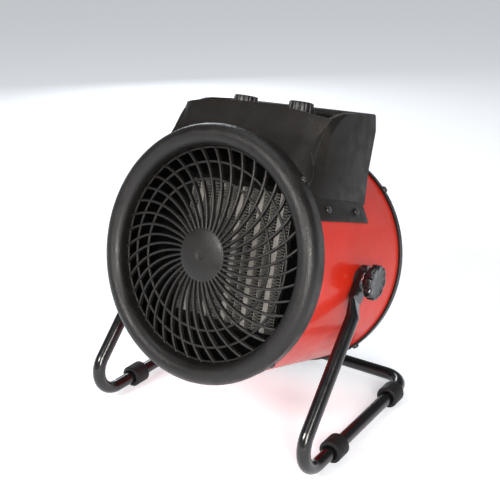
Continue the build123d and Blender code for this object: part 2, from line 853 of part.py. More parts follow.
with BuildPart() as motor_can:
    with BuildSketch(across(can_front)):
        Circle(motor_radius)
    extrude(amount=-motor_length)
    with BuildSketch(across(can_front + motor_wall)):
        Circle(motor_radius - motor_wall)
    extrude(amount=-motor_length, mode=Mode.SUBTRACT)
    bore(across(can_front), motor_bore, motor_wall)
    with BuildSketch(across(can_front)):
        with PolarLocations(motor_screw_circle, motor_screw_count, start_angle=90):
            Circle(motor_screw_hole / 2)
    extrude(amount=-motor_wall, mode=Mode.SUBTRACT)
save(motor_can.part, "motor_can")

with BuildPart() as motor_end_cap:
    with BuildSketch(across(can_rear)):
        Circle(motor_radius)
        Circle(motor_bore / 2, mode=Mode.SUBTRACT)
    extrude(amount=-end_cap_thickness)
save(motor_end_cap.part, "motor_end_cap")

with BuildPart() as stator:
    with BuildSketch(across(stator_front)):
        Circle(stator_outer)
        Circle(stator_inner, mode=Mode.SUBTRACT)
    extrude(amount=-stator_length)
save(stator.part, "stator")

with BuildPart() as motor_screws:
    with BuildSketch(across(bracket_front)):
        with PolarLocations(motor_screw_circle, motor_screw_count, start_angle=90):
            RegularPolygon(motor_screw_head / 2, 6)
    extrude(amount=motor_wall)
    with BuildSketch(across(bracket_front)):
        with PolarLocations(motor_screw_circle, motor_screw_count, start_angle=90):
            Circle(motor_screw_shank / 2)
    extrude(amount=-2 * (bracket_sheet + motor_wall))
save(motor_screws.part, "motor_screws")

with BuildPart() as rotor_shaft:
    with BuildSketch(across(fan_front - fan_nut_length - motor_wall)):
        Circle(motor_shaft_diameter / 2)
    extrude(amount=fan_front - fan_nut_length - motor_wall - motor_rear + fit)
    with BuildSketch(across(stator_front)):
        Circle(stator_inner - air_gap)
    extrude(amount=-stator_length)
save(rotor_shaft.part, "rotor_shaft")

hub_middle = (fan_front + fan_rear) / 2
blade_plane = Plane(
    origin=(0, hub_middle, 0),
    x_dir=(1, 0, 0),
    z_dir=(0, -cos(radians(blade_pitch)), -sin(radians(blade_pitch))),
)
with BuildPart() as blade:
    with BuildSketch(blade_plane):
        Polygon(
            (fan_hub_radius - blade_thickness, -blade_root_chord / 2),
            (fan_radius, -blade_tip_chord / 2),
            (fan_radius, blade_tip_chord / 2),
            (fan_hub_radius - blade_thickness, blade_root_chord / 2),
            align=None,
        )
    extrude(amount=blade_thickness / 2, both=True)

with BuildPart() as axial_fan:
    with BuildSketch(across(fan_front)):
        Circle(fan_hub_radius)
    extrude(amount=-fan_hub_length)
    for turn in range(blade_count):
        add(blade.part.rotate(Axis.Y, turn * 360 / blade_count))
    bore(across(fan_front), motor_shaft_diameter + 2 * fit, fan_hub_length)
save(axial_fan.part, "axial_fan")

with BuildPart() as fan_nut:
    with BuildSketch(across(fan_front)):
        RegularPolygon(fan_nut_width / 2, 6, major_radius=False)
        Circle(motor_shaft_diameter / 2 + fit, mode=Mode.SUBTRACT)
    extrude(amount=fan_nut_length)
save(fan_nut.part, "fan_nut")

# ---- Clamps: spacer, washer, knob, stud and weld nut on the pivot's axis, right side first
stud_hole = stud_diameter + 2 * stud_clearance
nut_seat = casing_bore - joint_gap
stud_inner = nut_seat - weld_nut_thickness - washer_thickness
stud_outer = clamp_face - clamp_head_length / 2

with BuildPart() as clamp_spacer:
    with BuildSketch(Plane.YZ.offset(tube_end_inner)):
        Circle(spacer_diameter / 2)
        Circle(stud_hole / 2, mode=Mode.SUBTRACT)
    extrude(amount=-2 * spacer_thickness)
    with BuildSketch(across(-spacer_diameter)):
        Circle(seat_radius)
    extrude(amount=-2 * spacer_diameter, mode=Mode.SUBTRACT)

with BuildPart() as clamp_washer:
    with BuildSketch(Plane.YZ.offset(washer_inner)):
        Circle(washer_diameter / 2)
        Circle(stud_hole / 2, mode=Mode.SUBTRACT)
    extrude(amount=washer_thickness)

with BuildPart() as clamp_knob:
    with BuildSketch(Plane.YZ.offset(clamp_inner)):
        Circle(clamp_hub_radius)
    extrude(amount=clamp_hub_length)
    with BuildSketch(Plane.YZ.offset(clamp_inner + clamp_hub_length)):
        Polygon(*lobed(clamp_radius, clamp_radius - lobe_depth, lobe_count, lobe_land), align=None)
    extrude(amount=clamp_head_length)
    with BuildSketch(Plane.YZ.offset(clamp_inner)):
        Circle(stud_diameter / 2 + fit)
    extrude(amount=stud_outer - clamp_inner + fit, mode=Mode.SUBTRACT)

with BuildPart() as clamp_stud:
    with BuildSketch(Plane.YZ.offset(stud_inner)):
        Circle(stud_diameter / 2)
    extrude(amount=stud_outer - stud_inner)

with BuildPart() as weld_nut:
    with BuildSketch(Plane.YZ.offset(nut_seat)):
        RegularPolygon(weld_nut_width / 2, 6, major_radius=False)
        Circle(stud_diameter / 2 + running_fit, mode=Mode.SUBTRACT)
    extrude(amount=-weld_nut_thickness)

for piece, name in ((clamp_washer, "clamp_washer"), (clamp_knob, "clamp_knob"), (clamp_stud, "clamp_stud")):
    save(piece.part, f"right_{name}")
    save(piece.part.mirror(Plane.YZ), f"left_{name}")
for piece, name in ((clamp_spacer, "clamp_spacers"), (weld_nut, "weld_nuts")):
    with BuildPart() as pair:
        add(piece.part)
        add(piece.part.mirror(Plane.YZ))
    save(pair.part, name)

# ---- Stand: one tube bent into legs, runners and a crossbar, its ends pressed flat for the clamps
leg_length = hypot(leg_reach, pivot_rise)
leg_direction = Vector(0, -leg_reach / leg_length, -pivot_rise / leg_length)
splay = (stand_half_width - leg_top_half_width) / leg_length
round_start = flat_below + flare_length
pivot = Vector(0, pivot_station, pivot_height)


def on_leg(distance, side=1):
    """A point on the leg's centre line, this far down from the pivot."""
    out = Vector(side * (leg_top_half_width + splay * distance), 0, 0)
    return pivot + leg_direction * distance + out


def runner_end(reach, side=1):
    """A corner of the stand on the runners' level."""
    return Vector(side * stand_half_width, pivot_station + reach, runner_height)


flat_plane = Plane(origin=(tube_end_inner, pivot.Y, pivot.Z), x_dir=leg_direction, z_dir=(1, 0, 0))
flat_end = Plane(
    origin=pivot + leg_direction * flat_below + Vector(tube_end_inner + flat_thickness / 2, 0, 0),
    x_dir=(1, 0, 0),
    z_dir=leg_direction,
)
round_end = Plane(origin=on_leg(round_start), x_dir=(1, 0, 0), z_dir=on_leg(leg_length) - on_leg(0))
with BuildPart() as tube_end:
    with BuildSketch(flat_plane) as flat:
        nose = flat_width / 2 - flat_above
        with Locations((nose, 0)):
            Circle(flat_width / 2)
            Rectangle(flat_below - nose, flat_width, align=(Align.MIN, Align.CENTER))
        Circle(stud_hole / 2, mode=Mode.SUBTRACT)
    extrude(amount=flat_thickness)
    with BuildSketch(flat_end):
        RectangleRounded(flat_thickness, flat_width, flat_thickness / 2 - fit)
    with BuildSketch(round_end):
        RectangleRounded(tube_diameter, tube_diameter, tube_diameter / 2 - fit)
    loft()

with BuildPart() as stand_tube:
    with BuildLine() as route:
        FilletPolyline(
            on_leg(round_start),
            runner_end(-leg_reach),
            runner_end(runner_reach),
            runner_end(runner_reach, -1),
            runner_end(-leg_reach, -1),
            on_leg(round_start, -1),
            radius=[leg_bend, rear_bend, rear_bend, leg_bend],
        )
    with BuildSketch(Plane(origin=route.line @ 0, z_dir=route.line % 0)):
        Circle(tube_diameter / 2)
    sweep()
    add(tube_end.part)
    add(tube_end.part.mirror(Plane.YZ))
save(stand_tube.part, "stand_tube", on_drum=False)

for station, end in zip(foot_stations, ("front", "rear")):
    with BuildPart() as feet:
        for side in (1, -1):
            with BuildSketch(Plane.XZ.offset(foot_length / 2 - pivot_station - station)):
                with Locations((side * stand_half_width, runner_height)):
                    Circle(foot_diameter / 2)
                    Circle(tube_diameter / 2 + fit, mode=Mode.SUBTRACT)
            extrude(amount=-foot_length)
        rims = edges().filter_by(GeomType.CIRCLE).group_by(SortBy.RADIUS)[-1]
        chamfer(rims, length=foot_edge)
        split(bisect_by=Plane.XY, keep=Keep.TOP)
    save(feet.part, f"{end}_feet", on_drum=False)
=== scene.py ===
import json
import logging
from dataclasses import dataclass, field
from enum import Enum
from math import asin, atan2, cos, degrees, pi, radians, sin, sqrt, tan
from typing import Callable, Sequence

import bmesh
import bpy
from mathutils import Matrix, Vector


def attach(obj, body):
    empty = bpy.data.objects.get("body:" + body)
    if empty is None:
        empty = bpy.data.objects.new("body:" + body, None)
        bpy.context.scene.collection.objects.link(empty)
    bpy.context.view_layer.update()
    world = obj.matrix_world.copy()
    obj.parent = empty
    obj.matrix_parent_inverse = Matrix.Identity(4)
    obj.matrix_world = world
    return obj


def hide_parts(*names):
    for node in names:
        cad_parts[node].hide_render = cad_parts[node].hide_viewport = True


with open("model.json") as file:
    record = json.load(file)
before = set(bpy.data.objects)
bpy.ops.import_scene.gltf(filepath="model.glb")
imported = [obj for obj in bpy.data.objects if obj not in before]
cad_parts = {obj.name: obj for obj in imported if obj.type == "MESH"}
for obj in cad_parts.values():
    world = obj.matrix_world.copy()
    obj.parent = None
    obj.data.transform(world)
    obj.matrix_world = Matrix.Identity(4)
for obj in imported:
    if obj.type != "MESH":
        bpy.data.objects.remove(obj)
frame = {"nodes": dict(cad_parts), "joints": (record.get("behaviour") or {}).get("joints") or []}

log = logging.getLogger("forced_air_heater")

# The drum's pieces are made in millimetres, upright and about the tilt pivot, with X to the right, Y (the
# station) along the drum's axis to the rear and Z up. DRUM_TO_WORLD tips them back and sets them in place.
MM = 0.001
REST_TILT = radians(17.4)
PIVOT = Vector(next(j["pos_m"] for j in frame["joints"] if j["name"] == "tilt"))
DRUM_TO_WORLD = Matrix.Translation(PIVOT) @ Matrix.Rotation(-REST_TILT, 4, "X") @ Matrix.Scale(MM, 4)
WORLD_MM = Matrix.Scale(MM, 4)

Point2 = tuple[float, float]
Point4 = tuple[float, float, float, float]
Colour = tuple[float, float, float]
Socket = bpy.types.NodeSocket
Pieces = list[bpy.types.Object]


def add_object(name: str, data: bpy.types.ID | None) -> bpy.types.Object:
    """Return a new object in the scene."""
    made = bpy.data.objects.new(name, data)
    bpy.context.collection.objects.link(made)
    return made


# ---------------------------------------------------------------- node trees


class Nodes:
    """A node tree that is built node by node."""

    def __init__(self, tree: bpy.types.NodeTree) -> None:
        """Take an empty tree, or one with its first nodes."""
        self.tree = tree

    def node(self, kind: str, **sockets: object) -> bpy.types.Node:
        """Add a node and feed its inputs, by name with _ for a space, from sockets or plain values."""
        made = self.tree.nodes.new(kind)
        for label, value in sockets.items():
            self.feed(made.inputs[label.replace("_", " ")], value)
        return made

    def feed(self, socket: Socket, value: object) -> None:
        """Link another socket to an input, or set the input to a plain value."""
        if isinstance(value, Socket):
            self.tree.links.new(value, socket)
        else:
            socket.default_value = value

    def calculate(self, kind: str, operation: str, *terms: object) -> bpy.types.Node:
        """Add a Math or Vector Math node with its terms."""
        made = self.node(kind)
        made.operation = operation
        for socket, term in zip(made.inputs, terms):
            self.feed(socket, term)
        return made

    def maths(self, operation: str, *terms: object) -> Socket:
        """Return the result of a Math node."""
        return self.calculate("ShaderNodeMath", operation, *terms).outputs[0]

    def noise(self, place: Socket, size: float, detail: float) -> Socket:
        """Return a noise value whose features are about this size in millimetres."""
        made = self.node("ShaderNodeTexNoise", Scale=1 / (size * MM), Detail=detail, Vector=place)
        return made.outputs["Fac"]

    def stretch(
        self, value: Socket, low: float, high: float, start: float = 0.35, end: float = 0.65
    ) -> Socket:
        """Return the value stretched from start..end onto low..high."""
        span = {"From_Min": start, "From_Max": end, "To_Min": low, "To_Max": high}
        return self.node("ShaderNodeMapRange", Value=value, **span).outputs["Result"]

    def mix(self, share: Socket, first: Colour | Socket, second: Colour) -> Socket:
        """Return a colour between two, by a share."""
        made = self.node("ShaderNodeMix")
        made.data_type = "RGBA"
        factor, left, right = (made.inputs[index] for index in (0, 6, 7))
        self.feed(factor, share)
        self.feed(left, (*first, 1.0) if isinstance(first, tuple) else first)
        self.feed(right, (*second, 1.0))
        return made.outputs[2]

    def soft_normal(self, radius: float) -> Socket:
        """Return the normal as it is once crisp edges are rounded by a radius in millimetres."""
        bevel = self.node("ShaderNodeBevel", Radius=radius * MM)
        bevel.samples = 4
        return bevel.outputs["Normal"]


def principled(material: bpy.types.Material) -> bpy.types.Node:
    """Return a material's own shader."""
    return next(node for node in material.node_tree.nodes if node.type == "BSDF_PRINCIPLED")


# ---------------------------------------------------------------- finishes

CLOUDS = (28.0, 3.0)  # size in millimetres and detail of the slow change in a colour
SMUDGES = (11.0, 4.0)  # and of the smudges in its gloss
BRUSH_STRETCH = 0.04  # how far brushed grain is drawn out
WEAR_AND_SHEEN_REACH = 1.6  # width of an edge band, worn and with a painted highlight, in soft edges
WEAR_AND_SHEEN_FACING = (0.8, 0.985)  # how nearly a softened normal faces as the face does, at full edge colour (wear and painted highlight) and at none
SHADE_BLUR = 0.1  # millimetres either side of a painted shade's limit


class Grain(Enum):
    """The fine texture that a surface carries: its name, its detail and its relief in millimetres."""

    SMOOTH = ("smooth", 1.0, 0.1)
    SPARK = ("spark", 3.0, 0.35)  # the pebbled grain of a spark-eroded mould
    PEEL = ("peel", 0.0, 0.1)  # the slow ripple of sprayed enamel
    BRUSHED = ("brushed", 2.0, 0.1)  # fine lines left by rolling


class Depth(Enum):
    """What tells a face in painted shade from an open one."""

    RADIUS = "radius"  # nearer to the drum's axis
    STATION = "station"  # further back along it


@dataclass(frozen=True)
class PaintedShade:
    """Painted shade: a dark colour on the faces that lie deeper than a limit, where shade falls.

    Attributes:
        colour: Linear colour of the painted shade.
        depth: What the limit is measured by.
        limit: The limit in millimetres in the drum's frame.
    """

    colour: Colour
    depth: Depth
    limit: float


@dataclass(frozen=True)
class Finish:
    """A paint, plastic, rubber or metal, with its variation, grain, edges lightened as wear and painted
    highlight, and painted shade.

    Attributes:
        name: The material's name.
        colour: Linear base colour.
        roughness: Middle of the roughness range.
        spread: How far the roughness wanders either way.
        metallic: 0 for paint, plastic and rubber, 1 for bare metal.
        specular: Strength of the plain reflection.
        coat: Strength of a clear top layer.
        coat_roughness: Roughness of that layer.
        grain: Kind of fine texture.
        grain_size: Size of one grain in millimetres.
        grain_depth: Bump strength.
        shade: How much the colour wanders, as a share of itself.
        edge: Colour that edges show, as wear, and on the charcoal moulding as a painted highlight along its
            rims.
        edge_wear_and_sheen: Share of the edge colour on an edge.
        soft_edge: Radius in millimetres by which crisp edges look rounded, or 0.
        inside: Painted shade on the faces that lie deeper, if they have it.
    """

    name: str
    colour: Colour
    roughness: float
    spread: float = 0.05
    metallic: float = 0.0
    specular: float = 0.5
    coat: float = 0.0
    coat_roughness: float = 0.08
    grain: Grain = Grain.SMOOTH
    grain_size: float = 0.5
    grain_depth: float = 0.1
    shade: float = 0.12
    edge: Colour = (0.2, 0.2, 0.2)
    edge_wear_and_sheen: float = 0.15
    soft_edge: float = 0.35
    inside: PaintedShade | None = None

    def material(self) -> bpy.types.Material:
        """Return the finish as a node material, made on first use."""
        made = bpy.data.materials.get(self.name)
        if made is not None:
            return made
        made = bpy.data.materials.new(self.name)
        made.use_nodes = True
        made.diffuse_color = (*self.colour, 1.0)
        nodes, shader = Nodes(made.node_tree), principled(made)
        place = nodes.node("ShaderNodeTexCoord").outputs["Object"]
        values = {
            "Metallic": self.metallic,
            "Specular IOR Level": self.specular,
            "Coat Weight": self.coat,
            "Coat Roughness": self.coat_roughness,
            "Base Color": self._colour(nodes, place),
            "Roughness": self._roughness(nodes, place),
            "Normal": self._bump(nodes, place),
        }
        for label, value in values.items():
            nodes.feed(shader.inputs[label], value)
        return made

    def _colour(self, nodes: Nodes, place: Socket) -> Socket:
        """Return the base colour with its slow variation, its edges (wear and painted highlight) and the
        painted shade of deeper faces.
        """
        darker = tuple(c * (1 - self.shade) for c in self.colour)
        lighter = tuple(min(1.0, c * (1 + self.shade)) for c in self.colour)
        cloud = nodes.stretch(nodes.noise(place, *CLOUDS), 0.0, 1.0)
        shown = nodes.mix(cloud, darker, lighter)
        if self.soft_edge:
            # Edges take the edge colour: wear, and on the charcoal moulding a painted highlight along its
            # rims.
            shown = nodes.mix(self._worn_and_lit_edges(nodes), shown, self.edge)
        # Deeper faces take a dark colour: painted shade.
        if self.inside:
            shown = nodes.mix(self._painted_shade_share(nodes, place, self.inside), shown, self.inside.colour)
        return shown

    def _worn_and_lit_edges(self, nodes: Nodes) -> Socket:
        """Return the share of edge colour, wear and painted highlight: where a softened normal leaves the
        face's own, there is an edge.
        """
        soft = nodes.soft_normal(WEAR_AND_SHEEN_REACH * self.soft_edge)
        own = nodes.node("ShaderNodeNewGeometry").outputs["Normal"]
        facing = nodes.calculate("ShaderNodeVectorMath", "DOT_PRODUCT", soft, own).outputs["Value"]
        return nodes.stretch(facing, self.edge_wear_and_sheen, 0.0, *WEAR_AND_SHEEN_FACING)

    def _painted_shade_share(self, nodes: Nodes, place: Socket, inside: PaintedShade) -> Socket:
        """Return the painted shade's share: 1 on the faces that lie deeper than the limit and 0 on the
        others.

        Args:
            nodes: The material's nodes.
            place: The point being shaded.
            inside: The painted shade and its limit.

        Returns:
            The share as a node's output.
        """
        turn = (-REST_TILT, 0.0, 0.0)
        upright = nodes.node("ShaderNodeMapping", Location=PIVOT, Rotation=turn, Vector=place)
        upright.vector_type = "TEXTURE"
        here = upright.outputs["Vector"]
        start, end = ((inside.limit + side * SHADE_BLUR) * MM for side in (-1, 1))
        if inside.depth is Depth.STATION:
            station = nodes.node("ShaderNodeSeparateXYZ", Vector=here).outputs["Y"]
            return nodes.stretch(station, 0.0, 1.0, start, end)
        flat = nodes.calculate("ShaderNodeVectorMath", "MULTIPLY", here, (1.0, 0.0, 1.0)).outputs["Vector"]
        radius = nodes.calculate("ShaderNodeVectorMath", "LENGTH", flat).outputs["Value"]
        return nodes.stretch(radius, 1.0, 0.0, start, end)

    def _roughness(self, nodes: Nodes, place: Socket) -> Socket:
        """Return the roughness with its smudges."""
        low, high = max(0.02, self.roughness - self.spread), min(1.0, self.roughness + self.spread)
        return nodes.stretch(nodes.noise(place, *SMUDGES), low, high)

    def _bump(self, nodes: Nodes, place: Socket) -> Socket:
        """Return the normal, roughened by the grain."""
        _, detail, relief = self.grain.value
        if self.grain is Grain.BRUSHED:
            drawn = (1.0, 1.0, BRUSH_STRETCH)
            place = nodes.node("ShaderNodeMapping", Scale=drawn, Vector=place).outputs["Vector"]
        height = nodes.noise(place, self.grain_size, detail)
        bump = nodes.node("ShaderNodeBump", Strength=self.grain_depth, Distance=relief * MM, Height=height)
        if self.soft_edge:
            nodes.feed(bump.inputs["Normal"], nodes.soft_normal(self.soft_edge))
        return bump.outputs["Normal"]


# Its light edge colour and large edge share paint a highlight line along its rims.
CHARCOAL = Finish(
    "charcoal_moulding", (0.0098, 0.0086, 0.0078), 0.42, 0.08, specular=0.17,
    grain=Grain.SPARK, grain_size=1.1, grain_depth=1.0, edge=(0.2, 0.185, 0.175), edge_wear_and_sheen=0.4,
)
BEZEL = Finish(
    "bezel_moulding", (0.0055, 0.0047, 0.0044), 0.4, 0.08, specular=0.4,
    grain=Grain.SPARK, grain_size=1.2, grain_depth=0.9, edge=(0.07, 0.065, 0.06), edge_wear_and_sheen=0.12,
)
GRILLE = Finish(
    "grille_moulding", (0.009, 0.0080, 0.0074), 0.38, 0.08, specular=0.36,
    grain=Grain.SPARK, grain_size=1.1, grain_depth=0.6, edge=(0.12, 0.115, 0.11), edge_wear_and_sheen=0.3,
)
KNOB = Finish(
    "knob_moulding", (0.009, 0.009, 0.010), 0.38, specular=0.3, grain_size=0.7, edge=(0.06, 0.06, 0.06),
    edge_wear_and_sheen=0.12,
)
CLAMP = Finish(
    "clamp_moulding", (0.005, 0.005, 0.006), 0.16, grain_size=2.0, edge=(0.1, 0.1, 0.11), edge_wear_and_sheen=0.25,
)
SPACER = Finish("spacer_moulding", (0.012, 0.012, 0.013), 0.4, specular=0.3, grain_size=0.7)
# The drum's inside is drawn near-black: painted shade inside the drum.
RED = Finish(
    "red_powder_coat", (0.46, 0.018, 0.007), 0.36, 0.04, specular=0.1, coat=0.22, coat_roughness=0.04,
    grain=Grain.PEEL, grain_size=6.0, grain_depth=0.03, shade=0.05, soft_edge=0.0,
    inside=PaintedShade((0.003, 0.0028, 0.0028), Depth.RADIUS, 105.7),
)
BLACK_ENAMEL = Finish(
    "black_enamel", (0.005, 0.005, 0.006), 0.2, 0.04, specular=0.4, coat=0.25, coat_roughness=0.05,
    grain=Grain.PEEL, grain_size=5.0, grain_depth=0.03, edge=(0.08, 0.08, 0.08), edge_wear_and_sheen=0.1,
)
BLACK_COAT = Finish(
    "black_powder_coat", (0.009, 0.009, 0.010), 0.42, 0.06, specular=0.35,
    grain=Grain.PEEL, grain_size=1.2, grain_depth=0.2, edge=(0.08, 0.08, 0.08), edge_wear_and_sheen=0.2,
)
RUBBER = Finish(
    "sleeve_rubber", (0.008, 0.008, 0.009), 0.6, 0.08, specular=0.3,
    grain=Grain.SPARK, grain_size=0.6, grain_depth=0.3, edge=(0.06, 0.06, 0.06),
)
ZINC = Finish(
    "zinc_plate", (0.50, 0.50, 0.49), 0.28, 0.08, 1.0, grain=Grain.BRUSHED, grain_size=0.4,
    edge=(0.7, 0.7, 0.68),
)
DULL_ZINC = Finish(
    "dull_zinc", (0.05, 0.05, 0.05), 0.36, 0.08, 0.6, grain_size=0.4, edge=(0.5, 0.5, 0.5), edge_wear_and_sheen=0.4,
)
BLACK_ZINC = Finish(
    "black_zinc", (0.035, 0.035, 0.037), 0.3, 0.08, 0.7, grain_size=0.4, edge=(0.5, 0.5, 0.5), edge_wear_and_sheen=0.5,
)
SHEET = Finish(
    "galvanised_sheet", (0.20, 0.20, 0.198), 0.42, 0.1, 1.0, grain=Grain.BRUSHED, grain_size=0.8, shade=0.2,
)
ALUMINIUM = Finish(
    "rolled_aluminium", (0.74, 0.735, 0.72), 0.32, 0.1, 1.0, grain=Grain.BRUSHED, grain_size=0.6,
)
# Fin faces behind the front edges are drawn dark: painted shade between the folds.
FIN = Finish(
    "fin_strip", (0.2, 0.19, 0.175), 0.5, 0.1, 0.6, grain=Grain.BRUSHED, grain_size=0.6, shade=0.2,
    soft_edge=0.0, inside=PaintedShade((0.014, 0.013, 0.012), Depth.STATION, -38.2),
)
BAR = Finish(
    "bar_aluminium", (0.31, 0.29, 0.268), 0.42, 0.1, 0.35, grain=Grain.BRUSHED, grain_size=0.6, shade=0.15,
)
FRAME_BLACK = Finish(
    "element_frame", (0.005, 0.0048, 0.0046), 0.75, 0.06, specular=0.04, grain=Grain.SPARK, grain_size=0.8,
)
# The air duct is drawn near-black and barely reflecting: painted shade inside the drum.
BAFFLE = Finish(
    "baffle_coat", (0.0022, 0.0021, 0.0021), 0.75, 0.08, specular=0.03,
    grain=Grain.PEEL, grain_size=1.2, grain_depth=0.2,
)
NYLON = Finish("natural_nylon", (0.62, 0.60, 0.53), 0.45, 0.06, grain_size=1.0)
LAMINATION = Finish("varnished_laminations", (0.06, 0.05, 0.045), 0.45, 0.1, 0.5, grain=Grain.BRUSHED)

FINISHED_NODES: tuple[tuple[Finish, tuple[str, ...]], ...] = (
    (RED, ("drum_casing",)),
    (BEZEL, ("front_bezel", "rear_rim")),
    (GRILLE, ("front_grille",)),
    (BLACK_COAT, ("rear_grille",)),
    (CHARCOAL, ("handle_housing", "control_console")),
    (KNOB, ("selector_knob", "thermostat_knob")),
    (CLAMP, ("left_clamp_knob", "right_clamp_knob")),
    (NYLON, ("selector_shaft", "thermostat_shaft", "terminal_block")),
    (SPACER, ("selector_switch_body", "cable_gland", "gland_nut", "clamp_spacers")),
    (SHEET, ("thermostat_body", "motor_bracket", "motor_can", "motor_end_cap")),
    (BAR, ("ptc_bars", "ptc_dividers")),
    (ALUMINIUM, ("fin_packs", "thermal_cutout", "axial_fan")),
    (FRAME_BLACK, ("ptc_frame",)),
    (BAFFLE, ("air_duct",)),
    (LAMINATION, ("stator",)),
    (ZINC, ("rotor_shaft", "fan_nut", "motor_screws", "bezel_screws", "rear_rim_screws", "weld_nuts")),
    (ZINC, ("left_clamp_washer", "right_clamp_washer", "left_clamp_stud", "right_clamp_stud")),
    (BLACK_ZINC, ("flange_screws",)),
    (BLACK_ENAMEL, ("stand_tube",)),
    (RUBBER, ("front_feet", "rear_feet")),
)


# ---------------------------------------------------------------- meshes by hand

MERGE_REACH = 0.0005  # points nearer to each other than this are one point, in millimetres
POLE = 0.02  # how near a turned solid comes to its axis
SIDE_SHARE = 0.49  # the most of a side that one rounding takes


def rounded(corners: Sequence[tuple[float, float, float]], steps: int = 5) -> list[Point2]:
    """Round the corners of a closed outline.

    Args:
        corners: Each corner's place and its rounding radius.
        steps: Pieces in each rounding.

    Returns:
        The outline's points, in order.
    """
    outline: list[Point2] = []
    for index, (a, b, radius) in enumerate(corners):
        here = Vector((a, b))
        if radius <= 0:
            outline.append((a, b))
            continue
        before = Vector(corners[index - 1][:2]) - here
        after = Vector(corners[(index + 1) % len(corners)][:2]) - here
        half = before.angle(after) / 2
        reach = min(radius / tan(half), SIDE_SHARE * before.length, SIDE_SHARE * after.length)
        radius = reach * tan(half)
        centre = here + (before.normalized() + after.normalized()).normalized() * (radius / sin(half))
        start = here + before.normalized() * reach - centre
        turn = start.angle_signed(here + after.normalized() * reach - centre)
        for step in range(steps + 1):
            swing = Matrix.Rotation(-turn * step / steps, 2)
            outline.append(tuple(centre + swing @ start))
    return outline


def arc(centre: Point2, radius: float, start: float, end: float, steps: int) -> list[Point2]:
    """Return points on an arc, its angles in degrees from the first axis towards the second."""
    turns = (radians(start + (end - start) * step / steps) for step in range(steps + 1))
    return [(centre[0] + radius * cos(t), centre[1] + radius * sin(t)) for t in turns]


def through(first: Point2, middle: Point2, last: Point2, steps: int) -> list[Point2]:
    """Return points on the arc through three points, from the first to the last."""
    (ax, ay), (bx, by), (cx, cy) = first, middle, last
    a2, b2, c2 = (x * x + y * y for x, y in (first, middle, last))
    twice = 2 * (ax * (by - cy) + bx * (cy - ay) + cx * (ay - by))
    across = a2 * (by - cy) + b2 * (cy - ay) + c2 * (ay - by)
    up = a2 * (cx - bx) + b2 * (ax - cx) + c2 * (bx - ax)
    centre = Vector((across, up)) / twice
    start, end = Vector(first) - centre, Vector(last) - centre
    turn = start.angle_signed(end)
    return [tuple(centre + Matrix.Rotation(-turn * step / steps, 2) @ start) for step in range(steps + 1)]


def lobed(outer: float, inner: float, count: int, land: float, rounding: float) -> list[Point2]:
    """Return a lobed outline: flat-topped lobes with a rounded valley between two of them."""
    corners = []
    for lobe in range(count):
        for turn, radius in ((lobe - land, outer), (lobe + land, outer), (lobe + 0.5, inner)):
            angle = 2 * pi * turn / count
            corners.append((radius * cos(angle), radius * sin(angle), rounding))
    return rounded(corners, 3)


